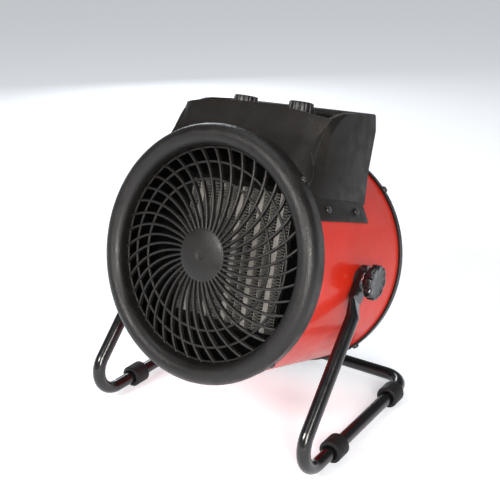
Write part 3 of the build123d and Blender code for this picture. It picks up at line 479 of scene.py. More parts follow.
class Shape:
    """A mesh in the making, in millimetres."""

    def __init__(self) -> None:
        """Start an empty mesh."""
        self.bm = bmesh.new()

    def skin(self, loops: Sequence[Sequence[Vector]], wrap: bool = False, cap: bool = True) -> "Shape":
        """Join closed loops of equally many points with a skin.

        Args:
            loops: The loops, in order.
            wrap: Join the last loop to the first.
            cap: Close the first and last loop with a face, unless they are joined.

        Returns:
            This shape.
        """
        rows = [[self.bm.verts.new(point) for point in loop] for loop in loops]
        size = len(rows[0])
        for index in range(len(rows) if wrap else len(rows) - 1):
            first, second = rows[index], rows[(index + 1) % len(rows)]
            for k in range(size):
                after = (k + 1) % size
                self.bm.faces.new((first[k], first[after], second[after], second[k]))
        if cap and not wrap:
            self.bm.faces.new(rows[0][::-1])
            self.bm.faces.new(rows[-1])
        return self

    def lathe(
        self, profile: Sequence[Point2], segments: int, start: float = 0.0, end: float = 360.0
    ) -> "Shape":
        """Turn a closed profile of (station, radius) about the drum's axis, from one angle to another."""
        full = end - start >= 360
        loops = []
        for step in range(segments + (0 if full else 1)):
            angle = radians(start + (end - start) * step / segments)
            loops.append([Vector((r * cos(angle), station, r * sin(angle))) for station, r in profile])
        return self.skin(loops, wrap=full)

    def stack(self, outline: Sequence[Point2], layers: Sequence[Point2]) -> "Shape":
        """Stack scaled copies of an outline along Z, one for each (height, scale) of the layers."""
        return self.skin([[Vector((x * scale, y * scale, z)) for x, y in outline] for z, scale in layers])

    def prism(self, outline: Sequence[Point2], low: float, high: float) -> "Shape":
        """Extrude a side-view outline of (station, height) from one x to another."""
        return self.skin([[Vector((x, station, height)) for station, height in outline] for x in (low, high)])

    def place(self, matrix: Matrix) -> "Shape":
        """Move everything made so far."""
        bmesh.ops.transform(self.bm, matrix=matrix, verts=self.bm.verts)
        return self

    def merge(self, *others: "Shape") -> "Shape":
        """Take in other shapes."""
        for other in others:
            carried = bpy.data.meshes.new("carried")
            other.bm.to_mesh(carried)
            other.bm.free()
            self.bm.from_mesh(carried)
            bpy.data.meshes.remove(carried)
        return self

    def take(self, mesh: bpy.types.Mesh) -> "Shape":
        """Take in a mesh and remove it."""
        self.bm.from_mesh(mesh)
        bpy.data.meshes.remove(mesh)
        return self

    def carve(self, cutter: "Shape") -> "Shape":
        """Subtract another shape, which is used up."""
        pair = []
        for label, shape in (("kept", self), ("cutter", cutter)):
            shape.tidy()
            mesh = bpy.data.meshes.new(label)
            shape.bm.to_mesh(mesh)
            pair.append(add_object(label, mesh))
        cut = pair[0].modifiers.new("cut", "BOOLEAN")
        cut.operation = "DIFFERENCE"
        cut.solver = "EXACT"
        cut.object = pair[1]
        shown = pair[0].evaluated_get(bpy.context.evaluated_depsgraph_get())
        result = bpy.data.meshes.new_from_object(shown)
        for carrier in pair:
            spent = carrier.data
            bpy.data.objects.remove(carrier)
            bpy.data.meshes.remove(spent)
        cutter.bm.free()
        self.bm.clear()
        return self.take(result)

    def mirrored(self) -> "Shape":
        """Return a copy on the other side of the drum's middle plane."""
        copy = Shape()
        copy.bm = self.bm.copy()
        return copy.place(Matrix.Scale(-1, 4, (1, 0, 0)))

    def ease(self, width: float, angle: float = 32.0, segments: int = 3) -> "Shape":
        """Round every edge that is sharper than the angle."""
        self.tidy()
        edges = [e for e in self.bm.edges if e.is_manifold and degrees(e.calc_face_angle(0.0)) > angle]
        bmesh.ops.bevel(
            self.bm, geom=edges, offset=width, offset_type="OFFSET", segments=segments, profile=0.5,
            affect="EDGES", clamp_overlap=True, harden_normals=False,
        )
        return self

    def tidy(self) -> "Shape":
        """Merge doubled points and turn the faces outwards."""
        bmesh.ops.remove_doubles(self.bm, verts=self.bm.verts, dist=MERGE_REACH)
        bmesh.ops.dissolve_degenerate(self.bm, edges=self.bm.edges, dist=MERGE_REACH)
        bmesh.ops.recalc_face_normals(self.bm, faces=self.bm.faces)
        return self

    def mesh(self, name: str, matrix: Matrix = DRUM_TO_WORLD) -> bpy.types.Mesh:
        """Return the finished mesh, tipped and placed with the drum unless another matrix is given."""
        self.place(matrix)
        made = bpy.data.meshes.new(name)
        self.bm.to_mesh(made)
        self.bm.free()
        return made


def publish(
    mesh: bpy.types.Mesh, finish: Finish, node: str, sharp: float, body: str = "heater_body"
) -> Pieces:
    """Turn a finished mesh into a piece of the heater, under the mesh's name.

    Args:
        mesh: The mesh, in its place in the frame.
        finish: What it is made of.
        node: The part of the frame that it stands for.
        sharp: Angle in degrees past which an edge stays crisp.
        body: The body that it rides on.

    Returns:
        The piece, in a list.
    """
    mesh.shade_smooth()
    mesh.set_sharp_from_angle(angle=radians(sharp))
    if not mesh.materials:
        mesh.materials.append(finish.material())
    piece = add_object(mesh.name, mesh)
    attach(piece, body)
    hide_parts(node)
    log.info("piece %s: %d faces on %s", mesh.name, len(mesh.polygons), body)
    return [piece]


# ---------------------------------------------------------------- geometry nodes


class GeometryTree(Nodes):
    """A geometry node tree that takes a geometry, named inputs and a finish, and gives real geometry."""

    def __init__(self, name: str, inputs: dict[str, str]) -> None:
        """Make the tree.

        Args:
            name: The tree's name.
            inputs: Socket type of each input after the geometry, by the input's name.
        """
        super().__init__(bpy.data.node_groups.new(name, "GeometryNodeTree"))
        face = self.tree.interface
        for label, kind in {"Geometry": "Geometry", **inputs, "Finish": "Material"}.items():
            face.new_socket(label, in_out="INPUT", socket_type=f"NodeSocket{kind}")
        face.new_socket("Geometry", in_out="OUTPUT", socket_type="NodeSocketGeometry")
        self.inputs = self.node("NodeGroupInput").outputs

    def copies(self, points: Socket, geometry: Socket, **sockets: object) -> Socket:
        """Return a copy of the geometry on each point."""
        made = self.node("GeometryNodeInstanceOnPoints", Points=points, Instance=geometry, **sockets)
        return made.outputs[0]

    def line(self, count: Socket, offset: object) -> Socket:
        """Return this many points, each an offset away from the last."""
        return self.node("GeometryNodeMeshLine", Count=count, Offset=offset).outputs[0]

    def along(self, **axis: object) -> Socket:
        """Return the vector that is given by one of its axes."""
        return self.node("ShaderNodeCombineXYZ", **axis).outputs[0]

    def close(self, geometry: Socket) -> "GeometryTree":
        """End the tree in real geometry with its finish on it."""
        real = self.node("GeometryNodeRealizeInstances", Geometry=geometry).outputs[0]
        painted = self.node("GeometryNodeSetMaterial", Geometry=real, Material=self.inputs["Finish"])
        self.feed(self.node("NodeGroupOutput").inputs[0], painted.outputs[0])
        return self

    def run(self, base: bpy.types.ID, name: str, finish: Finish, **values: object) -> bpy.types.Mesh:
        """Apply the tree to a mesh or curve and return the plain mesh that comes out.

        Args:
            base: The mesh or curve that goes in.
            name: The name of the mesh that comes out.
            finish: What the result is made of.
            values: The tree's inputs, by name with _ for a space.

        Returns:
            The mesh.
        """
        carrier = add_object(f"{name}_carrier", base)
        modifier = carrier.modifiers.new("shape", "NODES")
        modifier.node_group = self.tree
        given = {label.replace("_", " "): value for label, value in values.items()}
        given["Finish"] = finish.material()
        for item in self.tree.interface.items_tree:
            if item.in_out == "INPUT" and item.name in given:
                modifier[item.identifier] = given[item.name]
        shown = carrier.evaluated_get(bpy.context.evaluated_depsgraph_get())
        made = bpy.data.meshes.new_from_object(shown)
        made.name = name
        bpy.data.objects.remove(carrier)
        return made


def turned_copies() -> GeometryTree:
    """Return a tree that sets copies of its geometry evenly round the drum's axis."""
    tree = GeometryTree("turned_copies", {"Copies": "Int"})
    count = tree.inputs["Copies"]
    index = tree.node("GeometryNodeInputIndex").outputs[0]
    turn = tree.maths("MULTIPLY", tree.maths("DIVIDE", index, count), 2 * pi)
    points = tree.line(count, (0.0, 0.0, 0.0))
    return tree.close(tree.copies(points, tree.inputs["Geometry"], Rotation=tree.along(Y=turn)))


def folded_rows() -> GeometryTree:
    """Return a tree that repeats one fold up a pack, and sets a pack on each side of every bar."""
    sizes = {"Fold pitch": "Float", "Bar pitch": "Float", "Pack offset": "Float"}
    tree = GeometryTree("folded_rows", {"Folds": "Int", "Bars": "Int", **sizes})
    inputs = tree.inputs
    column = tree.line(inputs["Folds"], tree.along(Z=inputs["Fold pitch"]))
    pack = tree.copies(column, inputs["Geometry"])
    pair = tree.node("GeometryNodeJoinGeometry")
    for side in (1.0, -1.0):
        aside = tree.along(X=tree.maths("MULTIPLY", inputs["Pack offset"], side))
        moved = tree.node("GeometryNodeTransform", Geometry=pack, Translation=aside)
        tree.feed(pair.inputs[0], moved.outputs[0])
    row = tree.line(inputs["Bars"], tree.along(X=inputs["Bar pitch"]))
    return tree.close(tree.copies(row, pair.outputs[0]))


def seated_copies() -> GeometryTree:
    """Return a tree that sets a copy on every point of another object, turned by that point's own turn."""
    tree = GeometryTree("seated_copies", {"Seats": "Object"})
    seats = tree.node("GeometryNodeObjectInfo", Object=tree.inputs["Seats"]).outputs["Geometry"]
    turn = tree.node("GeometryNodeInputNamedAttribute", Name="turn")
    turn.data_type = "FLOAT_VECTOR"
    return tree.close(tree.copies(seats, tree.inputs["Geometry"], Rotation=turn.outputs[0]))


def seat_points(name: str, seats: Sequence[tuple[Vector, Vector, float]]) -> bpy.types.Object:
    """Return a hidden object whose points say where copies sit.

    Args:
        name: The object's name.
        seats: For each copy its place, the way it faces, and its turn about that way in radians.

    Returns:
        The object, to be removed once the copies are made.
    """
    mesh = bpy.data.meshes.new(name)
    mesh.from_pydata([tuple(place) for place, _, _ in seats], [], [])
    turns = mesh.attributes.new("turn", "FLOAT_VECTOR", "POINT")
    for item, (_, facing, spin) in zip(turns.data, seats):
        item.vector = (facing.to_track_quat("Z", "Y").to_matrix() @ Matrix.Rotation(spin, 3, "Z")).to_euler()
    return add_object(name, mesh)


# ---------------------------------------------------------------- the heater's pieces

DRUM_RADIUS = 105.9
COLLAR_REAR = -67.4  # station of the bezel collar's rear edge
THROAT_RADIUS = 92.0  # of the bezel's opening
FLOOR_GAP = 0.02  # how far the sleeves' flats stay off the floor's plane


def place_on_drum(angle: float, station: float, radius: float) -> tuple[Vector, Vector]:
    """Return a place on the drum and the way out from it, for an angle in degrees from the right side."""
    out = Vector((cos(radians(angle)), 0.0, sin(radians(angle))))
    return out * radius + Vector((0.0, station, 0.0)), out


def box_section(width: float, depth: float, front: float, rear: float) -> list[Point2]:
    """Return a section, half to each side and its front at 0, its front and rear edges rounded."""
    half = width / 2
    return rounded([(-half, 0.0, front), (half, 0.0, front), (half, depth, rear), (-half, depth, rear)], 3)


@dataclass
class OutletGrille:
    """Swept ribs on a dished surface, with the hub and three hoops.

    Attributes:
        ribs: Number of ribs.
        rib_width: Width of a rib.
        rib_depth: Its depth, front to back.
        root_radius: Where a rib starts, inside the hub.
        sweep_root: Radius from which the ribs turn.
        sweep: Turn in degrees at two radii.
        front: Station of the dish's lowest point.
        dish_depth: How far the dish comes forward at the throat.
        hub_radius: The hub's radius.
        hub_crown: Rise of the hub's dome.
        hub_thickness: The hub's edge.
        hub_shoulder: How far inside that edge the dome ends.
        dome: Power of the dome's curve, and its pieces.
        dimple: Radius and depth of the hub's dimple.
        hoops: Radii of the inner hoops.
        seat_hoop: Radius of the outermost hoop, which the throat holds.
        hoop: Width and depth of a hoop.
        hoop_setback: How far a hoop lies behind the ribs' front.
        steps: Pieces along a rib.
    """

    ribs: int = 40
    rib_width: float = 2.2
    rib_depth: float = 4.0
    root_radius: float = 21.0
    sweep_root: float = 22.0
    sweep: tuple[Point2, Point2] = ((60.3, 11.6), (THROAT_RADIUS, 24.5))
    front: float = -83.7
    dish_depth: float = 8.5
    hub_radius: float = 22.8
    hub_crown: float = 2.4
    hub_thickness: float = 6.0
    hub_shoulder: float = 1.2
    dome: tuple[float, int] = (2.4, 8)
    dimple: Point2 = (3.2, 0.7)
    hoops: Point2 = (64.0, 78.5)
    seat_hoop: float = THROAT_RADIUS - 1.1
    hoop: Point2 = (2.0, 2.0)
    hoop_setback: float = 1.6
    steps: int = 14

    def dish(self, radius: float) -> float:
        """Return the station of the ribs' front at a radius."""
        return self.front + self.dish_depth * (radius / THROAT_RADIUS) ** 2

    def turn(self, radius: float) -> float:
        """Return how far a rib has turned at a radius, in radians."""
        (middle, middle_turn), (end, end_turn) = self.sweep
        middle_rate = middle_turn / (middle - self.sweep_root)
        end_rate = end_turn / (end - self.sweep_root)
        growth = (end_rate - middle_rate) / (end - middle)
        run = radius - self.sweep_root
        return radians(run * (middle_rate + growth * (radius - middle)))

    def path(self, radius: float) -> Vector:
        """Return the middle of a rib's front at a radius."""
        return Vector((radius * cos(self.turn(radius)), self.dish(radius), radius * sin(self.turn(radius))))

    def rib(self) -> bpy.types.Mesh:
        """Return one rib, its front rounded."""
        section = box_section(self.rib_width, self.rib_depth, 0.85, 0.25)
        length = THROAT_RADIUS - 0.2 - self.root_radius
        loops = []
        for step in range(self.steps + 1):
            radius = self.root_radius + length * step / self.steps
            here = self.path(radius)
            ahead = self.path(radius + 0.5) - self.path(radius - 0.5)
            across = Vector((-ahead.z, 0.0, ahead.x)).normalized()
            loops.append([here + across * a + Vector((0.0, b, 0.0)) for a, b in section])
        return Shape().skin(loops).tidy().mesh("rib", Matrix.Identity(4))

    def rings(self) -> Shape:
        """Return the hoops and the hub."""
        shape = Shape()
        section = box_section(*self.hoop, 0.5, 0.3)
        for radius in (*self.hoops, self.seat_hoop):
            seat = self.dish(radius) + self.hoop_setback
            shape.lathe([(seat + b, radius + a) for a, b in section], 160)
        return shape.merge(self.hub())

    def hub(self) -> Shape:
        """Return the domed hub with its dimple, closed at its poles."""
        edge = self.dish(self.hub_radius)
        crest, back = edge - self.hub_crown, edge + self.hub_thickness
        (reach, depth), (power, steps) = self.dimple, self.dome
        lip, shoulder = reach + 0.3, self.hub_radius - self.hub_shoulder
        profile = [(crest + depth, POLE), (crest + depth, reach - 0.5), (crest + 0.35 * depth, reach - 0.15)]
        profile.append((crest, lip))
        for step in range(1, steps + 1):
            radius = lip + (shoulder - lip) * step / steps
            profile.append((edge - self.hub_crown * (1 - (radius / self.hub_radius) ** power), radius))
        profile += [(edge + 0.1, self.hub_radius - 0.45), (edge + 0.8, self.hub_radius)]
        return Shape().lathe([*profile, (back, self.hub_radius), (back, POLE)], 96)

    def build(self) -> Pieces:
        """Return the grille."""
        ribs = turned_copies().run(self.rib(), "ribs", GRILLE, Copies=self.ribs)
        mesh = Shape().take(ribs).merge(self.rings().tidy()).mesh("outlet_grille")
        return publish(mesh, GRILLE, "front_grille", sharp=50.0)


@dataclass
class HeatingElement:
    """The folded fins between the element's bars.

    Attributes:
        front: Station of the element's front.
        setback: How far the fins lie behind it.
        depth: Their depth.
        height: Their height.
        bars: Number of bars.
        bar_pitch: Pitch of the bars.
        bar_width: Width of a bar.
        fin_width: Width between a bar and the next divider.
        play: Gap that a fold leaves at each side of it.
        folds: Folds in a pack.
        sheet: Thickness of the folded strip.
    """

    front: float = -39.0
    setback: float = 0.3
    depth: float = 14.0
    height: float = 121.0
    bars: int = 5
    bar_pitch: float = 21.5
    bar_width: float = 5.0
    fin_width: float = 8.0
    play: float = 0.05
    folds: int = 48
    sheet: float = 0.4

    def fold(self) -> bpy.types.Mesh:
        """Return one fold of the strip, standing at the foot of the first bar."""
        pitch = self.height / self.folds
        half = self.fin_width / 2 - self.play
        first_bar, foot = -self.bar_pitch * (self.bars - 1) / 2, -(self.height + self.sheet) / 2
        front, back = self.front + self.setback, self.front + self.depth
        strip = [(front, 0.0), (back, 0.0), (back, self.sheet), (front, self.sheet)]
        line = [(-half, 0.0), (half, pitch / 2), (-half, pitch)]
        loops = [[Vector((first_bar + x, s, foot + z + t)) for s, t in strip] for x, z in line]
        return Shape().skin(loops).tidy().mesh("fold", Matrix.Identity(4))

    def build(self) -> Pieces:
        """Return the fins."""
        offset = (self.bar_width + self.fin_width) / 2
        rows = folded_rows().run(
            self.fold(), "folded_fins", FIN, Folds=self.folds, Fold_pitch=self.height / self.folds,
            Bars=self.bars, Bar_pitch=self.bar_pitch, Pack_offset=offset,
        )
        rows.transform(DRUM_TO_WORLD)
        return publish(rows, FIN, "fin_packs", sharp=30.0)


@dataclass
class CrossHeadScrews:
    """A set of pan-head screws with a cross recess.

    Attributes:
        name: The set's name.
        node: The part of the frame that the set stands for.
        finish: What the screws are made of.
        slot: The record's material slot; not used.
        seats: Angle, station and seat radius of each screw.
        radius: A head's radius.
        rise: A head's height.
        sunk: How far a head reaches into its seat.
        cross: Half length, half width and depth of the recess.
        spins: The first screw's turn in radians, and how much further each next one is turned.
    """

    name: str
    node: str
    finish: Finish
    slot: str
    seats: Sequence[tuple[float, float, float]]
    radius: float = 3.3
    rise: float = 2.3
    sunk: float = 1.0
    cross: tuple[float, float, float] = (1.75, 0.42, 1.0)
    spins: Point2 = (0.5, 1.9)

    def head(self) -> bpy.types.Mesh:
        """Return one screw, standing on its seat and facing up."""
        reach, half, depth = self.cross
        tip = degrees(atan2(half, reach))
        quarter = (0.0, tip / 2, tip, 30.0, 45.0, 60.0, 90 - tip, 90 - tip / 2)
        angles = [radians(turn + 90 * k) for k in range(4) for turn in quarter]
        star = []
        for angle in angles:
            c, d = abs(cos(angle)) + 1e-9, abs(sin(angle)) + 1e-9
            star.append(max(min(reach / c, half / d), min(reach / d, half / c)))
        dome = [(0.35, 1.0), (0.62, 0.95), (0.85, 0.8), (0.97, 0.62)]
        profile = [(-self.sunk, self.radius - 0.02)]
        profile += [(self.rise * share, self.radius * width) for share, width in dome]
        loops = [[Vector((r * cos(a), r * sin(a), z)) for a in angles] for z, r in profile]
        for height in (self.rise, self.rise - depth):
            loops.append([Vector((r * cos(a), r * sin(a), height)) for a, r in zip(angles, star)])
        return Shape().skin(loops).tidy().mesh("head", Matrix.Identity(4))

    def build(self) -> Pieces:
        """Return the set."""
        first, step = self.spins
        places = [(*place_on_drum(*seat), first + step * number) for number, seat in enumerate(self.seats)]
        seats = seat_points(f"{self.name}_seats", places)
        made = seated_copies().run(self.head(), self.name, self.finish, Seats=seats)
        bpy.data.objects.remove(seats)
        made.transform(DRUM_TO_WORLD)
        return publish(made, self.finish, self.node, sharp=42.0)


@dataclass
class HandleHousing:
    """Two cheeks with their flanges, and the grip between them.

    Attributes:
        inner: Half width inside the cheeks.
        outer: Half width over the cheeks' feet.
        web: Straight part of a cheek, beside the console.
        toe: How much wider that part is at the cheek's foot.
        toe_height: Height at which that ends.
        draft: How far the outer face leans in, in degrees.
        round: Rounding of the cheeks' edges.
        flange: Inner and outer radius of the flange.
        flange_heights: Height of the flange's foot and top.
        flange_stations: Its front and rear end.
        grip: The grip's front lower corner.
        grip_thickness: Its height there.
        foot: Rise of the cheeks' feet. Rises are measured from the drum's crest, and the stations in
            these pairs from the collar's rear edge.
        root_front: Foot, bulge, shoulder, brow and crest of a cheek's outline beside the console.
        face_front: The same on its outer face.
        top: The upper rear corner.
        tail: The corner under it.
    """

    inner: float = 71.0
    outer: float = 87.0
    web: float = 3.5
    toe: float = 9.5
    toe_height: float = 62.0
    draft: float = 7.5
    round: float = 0.9
    flange: Point2 = (105.95, 107.3)
    flange_heights: Point2 = (46.5, 65.9)
    flange_stations: Point2 = (-67.1, 20.0)
    grip: Point2 = (86.4, 20.7)
    grip_thickness: float = 12.4
    foot: float = -46.0
    root_front: tuple[Point2, ...] = ((-1.5, -46.0), (12.0, -12.5), (28.5, 19.3), (45.0, 26.0), (67.4, 30.6))
    face_front: tuple[Point2, ...] = ((13.5, -46.0), (20.3, -13.5), (27.4, 8.8), (40.0, 20.4), (76.9, 30.2))
    top: Point2 = (105.3, 35.0)
    tail: Point2 = (107.5, 20.7)

    def at(self, station: float, rise: float) -> Point2:
        """Return a point that is given from the collar's rear edge and the drum's crest."""
        return (COLLAR_REAR + station, DRUM_RADIUS + rise)

    def outline(self, front: Sequence[Point2]) -> list[Point2]:
        """Return a cheek's outline in side view.

        Args:
            front: Its foot, bulge, shoulder, brow and crest.

        Returns:
            The outline's points.
        """
        foot, bulge, shoulder, brow, crest = (self.at(*corner) for corner in front)
        points = through(foot, bulge, shoulder, 14) + through(shoulder, brow, crest, 14)[1:]
        rear = [(*self.at(*self.top), 2.5), (*self.at(*self.tail), 3.0), (*self.at(97.5, -15.0), 12.0)]
        return points + rounded([(*points[-1], 0.0), *rear, (*self.at(93.3, self.foot), 0.0)], 6)[1:]

    def toe_share(self, height: float) -> float:
        """Return how much of the toe is left at a height over the cheek's foot."""
        return max(0.0, 1 - max(0.0, height) / self.toe_height) ** 2

    def cheek(self) -> Shape:
        """Return the right cheek, seated on the drum."""
        root, face = self.outline(self.root_front), self.outline(self.face_front)
        foot, lean = DRUM_RADIUS + self.foot, tan(radians(self.draft))
        loops = [[Vector((self.inner, s, v)) for s, v in root]]
        web = self.inner + self.web
        loops.append([Vector((web + self.toe * self.toe_share(v - foot), s, v)) for s, v in root])
        loops.append([Vector((self.outer - (v - foot) * lean, s, v)) for s, v in face])
        seat = self.flange[0]
        drum = Shape().lathe([(-90.0, POLE), (-90.0, seat), (90.0, seat), (90.0, POLE)], 256)
        return Shape().skin(loops).carve(drum).ease(self.round, 30.0)

    def bands(self) -> Shape:
        """Return the right flange, wrapped on the drum."""
        inner, outer = self.flange
        low, high = (degrees(asin(height / outer)) for height in self.flange_heights)
        front, rear = self.flange_stations
        profile = [(front, inner), (front, outer), (rear, outer), (rear, inner)]
        return Shape().lathe(profile, 10, low, high).ease(0.4, 40.0, 2)

    def bar(self) -> Shape:
        """Return the grip between the cheeks."""
        station, rise = self.grip
        places = (self.grip, (station, rise + self.grip_thickness), self.top, self.tail)
        corners = [(*self.at(*place), 4.0) for place in places]
        return Shape().prism(rounded(corners, 8), -self.inner - 1, self.inner + 1)

    def build(self) -> Pieces:
        """Return the housing."""
        right = self.cheek().merge(self.bands())
        left = right.mirrored()
        mesh = right.merge(left, self.bar()).tidy().mesh("handle_moulding")
        return publish(mesh, CHARCOAL, "handle_housing", sharp=35.0)


@dataclass
class ControlConsole:
    """The crowned console between the cheeks, its deck sunk inside a rim.

    Attributes:
        half_width: Half its width.
        corner: Radius of its two front corners.
        front: Station of the front's top.
        lean: How far the front leans forward on its way down, in degrees.
        flare: Depth from which the foot flares towards the collar, and by how much.
        housing: The housing whose cheeks the console fits between.
        rear: Station of the rear wall.
        crown_rise: Height of the crown over the drum's crest.
        crown_radius: Its radius.
        rim: Width and height of the rim.
        seat: Radius on which the foot sits.
        steps: Pieces along the front.
        courses: Pieces up the wall.
    """

    half_width: float = 81.5
    corner: float = 23.0
    front: float = -44.3
    lean: float = 15.0
    flare: Point2 = (22.0, 0.022)
    housing: HandleHousing = field(default_factory=HandleHousing)
    rear: float = 3.0
    crown_rise: float = 27.0
    crown_radius: float = 430.0
    rim: Point2 = (1.6, 2.0)
    seat: float = 105.97
    steps: int = 24
    courses: int = 10

    def plan(self, inset: float) -> list[Point2]:
        """Return the front's path in plan from left to right, as (x, station at the crown's height)."""
        half, corner, front = self.half_width - inset, self.corner - inset, self.front + inset
        turn = arc((half - corner, front + corner), corner, 0.0, -90.0, 10)
        right = [(half, 0.5 * (front + corner + self.rear)), *turn]
        straight = half - corner
        middle = [(straight * (2 * step / self.steps - 1), front) for step in range(1, self.steps)]
        return [(-x, y) for x, y in right] + middle + right[::-1]

    def crown(self, x: float, drop: float) -> float:
        """Return the crowned height at x, some way below the rim."""
        radius = self.crown_radius - drop
        return DRUM_RADIUS + self.crown_rise - self.crown_radius + sqrt(radius**2 - x**2)

    def reach(self, station: float, height: float) -> float:
        """Return how far forward the wall stands at a height, given its station at the crown's height."""
        depth = DRUM_RADIUS + self.crown_rise - height
        start, growth = self.flare
        flared = growth * max(0.0, depth - start) ** 2
        return max(station - depth * tan(radians(self.lean)) - flared, COLLAR_REAR - 0.5)

    def loop(self, inset: float, height: Callable[[float], float]) -> list[Vector]:
        """Return a loop round the console at a height that depends on x."""
        path = self.plan(inset)
        rear = self.rear - inset
        points = [Vector((x, self.reach(station, height(x)), height(x))) for x, station in path]
        points += [Vector((x, rear, height(x))) for x, _ in path[::-1]]
        return points

    def between(self, share: float) -> Callable[[float], float]:
        """Return a height part of the way from the seat to the crown, as a function of x."""
        return lambda x: (1 - share) * sqrt(self.seat**2 - x**2) + share * self.crown(x, 0.0)

    def body(self) -> Shape:
        """Return the console, its edges rounded."""
        width, height = self.rim
        levels = [(0.0, self.between(step / self.courses)) for step in range(self.courses + 1)]
        levels += [(width, lambda x: self.crown(x, 0.0)), (width, lambda x: self.crown(x, height))]
        shape = Shape().skin([self.loop(inset, rise) for inset, rise in levels], cap=False)
        size = len(self.plan(0.0))
        for inset, rise, flip in ((0.0, levels[0][1], True), (width, levels[-1][1], False)):
            loop = [shape.bm.verts.new(point) for point in self.loop(inset, rise)]
            for k in range(size - 1):
                face = (loop[k], loop[k + 1], loop[-k - 2], loop[-k - 1])
                shape.bm.faces.new(face[::-1] if flip else face)
        cheek = self.housing.outline(self.housing.root_front)
        near, far = self.housing.inner + 0.5, self.half_width + 5
        for side in (1, -1):
            shape.carve(Shape().prism(cheek, side * near, side * far))
        return shape.ease(0.5, 40.0)

    def build(self) -> Pieces:
        """Return the console."""
        mesh = self.body().mesh("console_moulding")
        return publish(mesh, CHARCOAL, "control_console", sharp=35.0)


@dataclass
class DialKnob:
    """A fluted control knob with a pointer line on its top.

    Attributes:
        control: The control's name, which is also the body that it turns with.
        offset: Where it stands across the heater.
        station: Its station.
        foot: Height of its foot.
        top: Height of its top.
        radius: Its radius at the top.
        taper: Taper of its side in degrees.
        flutes: Number of flutes.
        flute_depth: Their depth.
        pointer: Half width of the pointer line, and how far from the middle it starts.
    """

    control: str
    offset: float
    station: float = -12.6
    foot: float = 130.3
    top: float = 139.7
    radius: float = 10.7
    taper: float = 4.0
    flutes: int = 14
    flute_depth: float = 1.0
    pointer: Point2 = (0.45, 1.5)

    def build(self) -> Pieces:
        """Return the knob."""
        rise = self.top - self.foot
        wide = 1 + rise * tan(radians(self.taper)) / self.radius
        outline = lobed(self.radius, self.radius - self.flute_depth, self.flutes, 0.3, 0.5)
        layers = [(0.0, 0.85 * wide), (0.0, wide - 0.01), (0.4, wide), (rise - 0.9, 1.0)]
        layers += [(rise - 0.35, 0.985), (rise, 0.93), (rise, 0.8), (rise - 0.35, 0.76), (rise - 0.35, 0.3)]
        shape = Shape().stack(outline, layers).tidy()
        (half, near), far = self.pointer, self.radius * 0.78
        line = rounded([(-half, near, 0.2), (half, near, 0.2), (half, far, 0.2), (-half, far, 0.2)], 2)
        pointer = Shape().stack(line, [(rise - 1.0, 1.0), (rise - 0.1, 1.0)]).tidy()
        stand = Matrix.Translation((self.offset, self.station, self.foot))
        mesh = shape.merge(pointer).place(stand).mesh(f"{self.control}_dial")
        return publish(mesh, KNOB, f"{self.control}_knob", sharp=40.0, body=self.control)


@dataclass
class ClampKnob:
    """A lobed knob that pinches the stand on the drum, with its ribbed hub.

    Attributes:
        side: 1 for the right one, -1 for the left one.
        hub: Station of the hub's inner end, its length and its radius.
        head: Thickness of the head.
        radius: Radius over the lobes.
        valley: Radius between two lobes.
        lobes: Number of lobes.
    """

    side: int
    hub: tuple[float, float, float] = (114.25, 4.2, 8.0)
    head: float = 7.0
    radius: float = 15.3
    valley: float = 12.5
    lobes: int = 8

    def build(self) -> Pieces:
        """Return the knob."""
        start, length, hub_radius = self.hub
        outline = lobed(self.radius, self.valley, self.lobes, 0.27, 0.9)
        low, high = length - 0.2, length + self.head - 0.2
        layers = [(low, 0.55), (low, 0.93), (low + 0.25, 0.975), (low + 0.8, 1.0), (high - 1.1, 1.0)]
        layers += [(high - 0.45, 0.985), (high - 0.1, 0.955), (high, 0.92), (high, 0.86)]
        layers += [(high - 0.3, 0.83), (high - 0.3, 0.3)]
        shape = Shape().stack(outline, layers).tidy()
        ribbed = lobed(hub_radius, hub_radius - 0.7, 16, 0.28, 0.2)
        hub = Shape().stack(ribbed, [(0.0, 0.6), (0.0, 0.96), (0.3, 1.0), (length, 1.0)]).tidy()
        name = "right" if self.side > 0 else "left"
        place = Matrix.Translation((self.side * start, 0, 0)) @ Matrix.Rotation(self.side * pi / 2, 4, "Y")
        mesh = shape.merge(hub).place(place).mesh(f"{name}_lobed_knob")
        return publish(mesh, CLAMP, f"{name}_clamp_knob", sharp=40.0, body=f"{name}_clamp")


@dataclass
class FootSleeves:
    """A pair of soft sleeves on the stand's runners.

    Attributes:
        place: "front" or "rear".
        station: Their place along the runners, from the pivot.
        radius: Their radius.
        length: Their length.
        edge: Rounding of their ends.
        recess: Radius and depth of the recess in each end.
        hole: Radius of the hole that the tube fills.
        height: Height of the runners' middle.
        half_width: Half the distance between the runners.
    """

    place: str
    station: float
    radius: float = 10.5
    length: float = 17.3
    edge: float = 2.2
    recess: Point2 = (7.3, 2.2)
    hole: float = 6.05
    height: float = 10.25
    half_width: float = 116.3

    def build(self) -> Pieces:
        """Return the pair."""
        half, (bore, depth) = self.length / 2, self.recess
        end = [(half, self.radius, self.edge), (half, bore, 0.6)]
        end += [(half - depth, bore - 0.6, 0.3), (half - depth, self.hole, 0.0)]
        section = rounded(end + [(-station, radius, edge) for station, radius, edge in end[::-1]], 5)
        shape = Shape()
        for side in (1, -1):
            sleeve = Shape().lathe(section, 72)
            shape.merge(sleeve.place(Matrix.Translation((side * self.half_width, self.station, self.height))))
        for vertex in shape.bm.verts:
            vertex.co.z = max(vertex.co.z, FLOOR_GAP)
        shape.place(Matrix.Translation((PIVOT.x / MM, PIVOT.y / MM, 0.0)))
        mesh = shape.tidy().mesh(f"{self.place}_sleeves", WORLD_MM)
        return publish(mesh, RUBBER, f"{self.place}_feet", sharp=35.0, body="stand")


def quarters(angle: float) -> Point4:
    """Return an angle in degrees from the horizontal, as it stands in each quarter of the drum."""
    return (angle, 180 - angle, 180 + angle, 360 - angle)


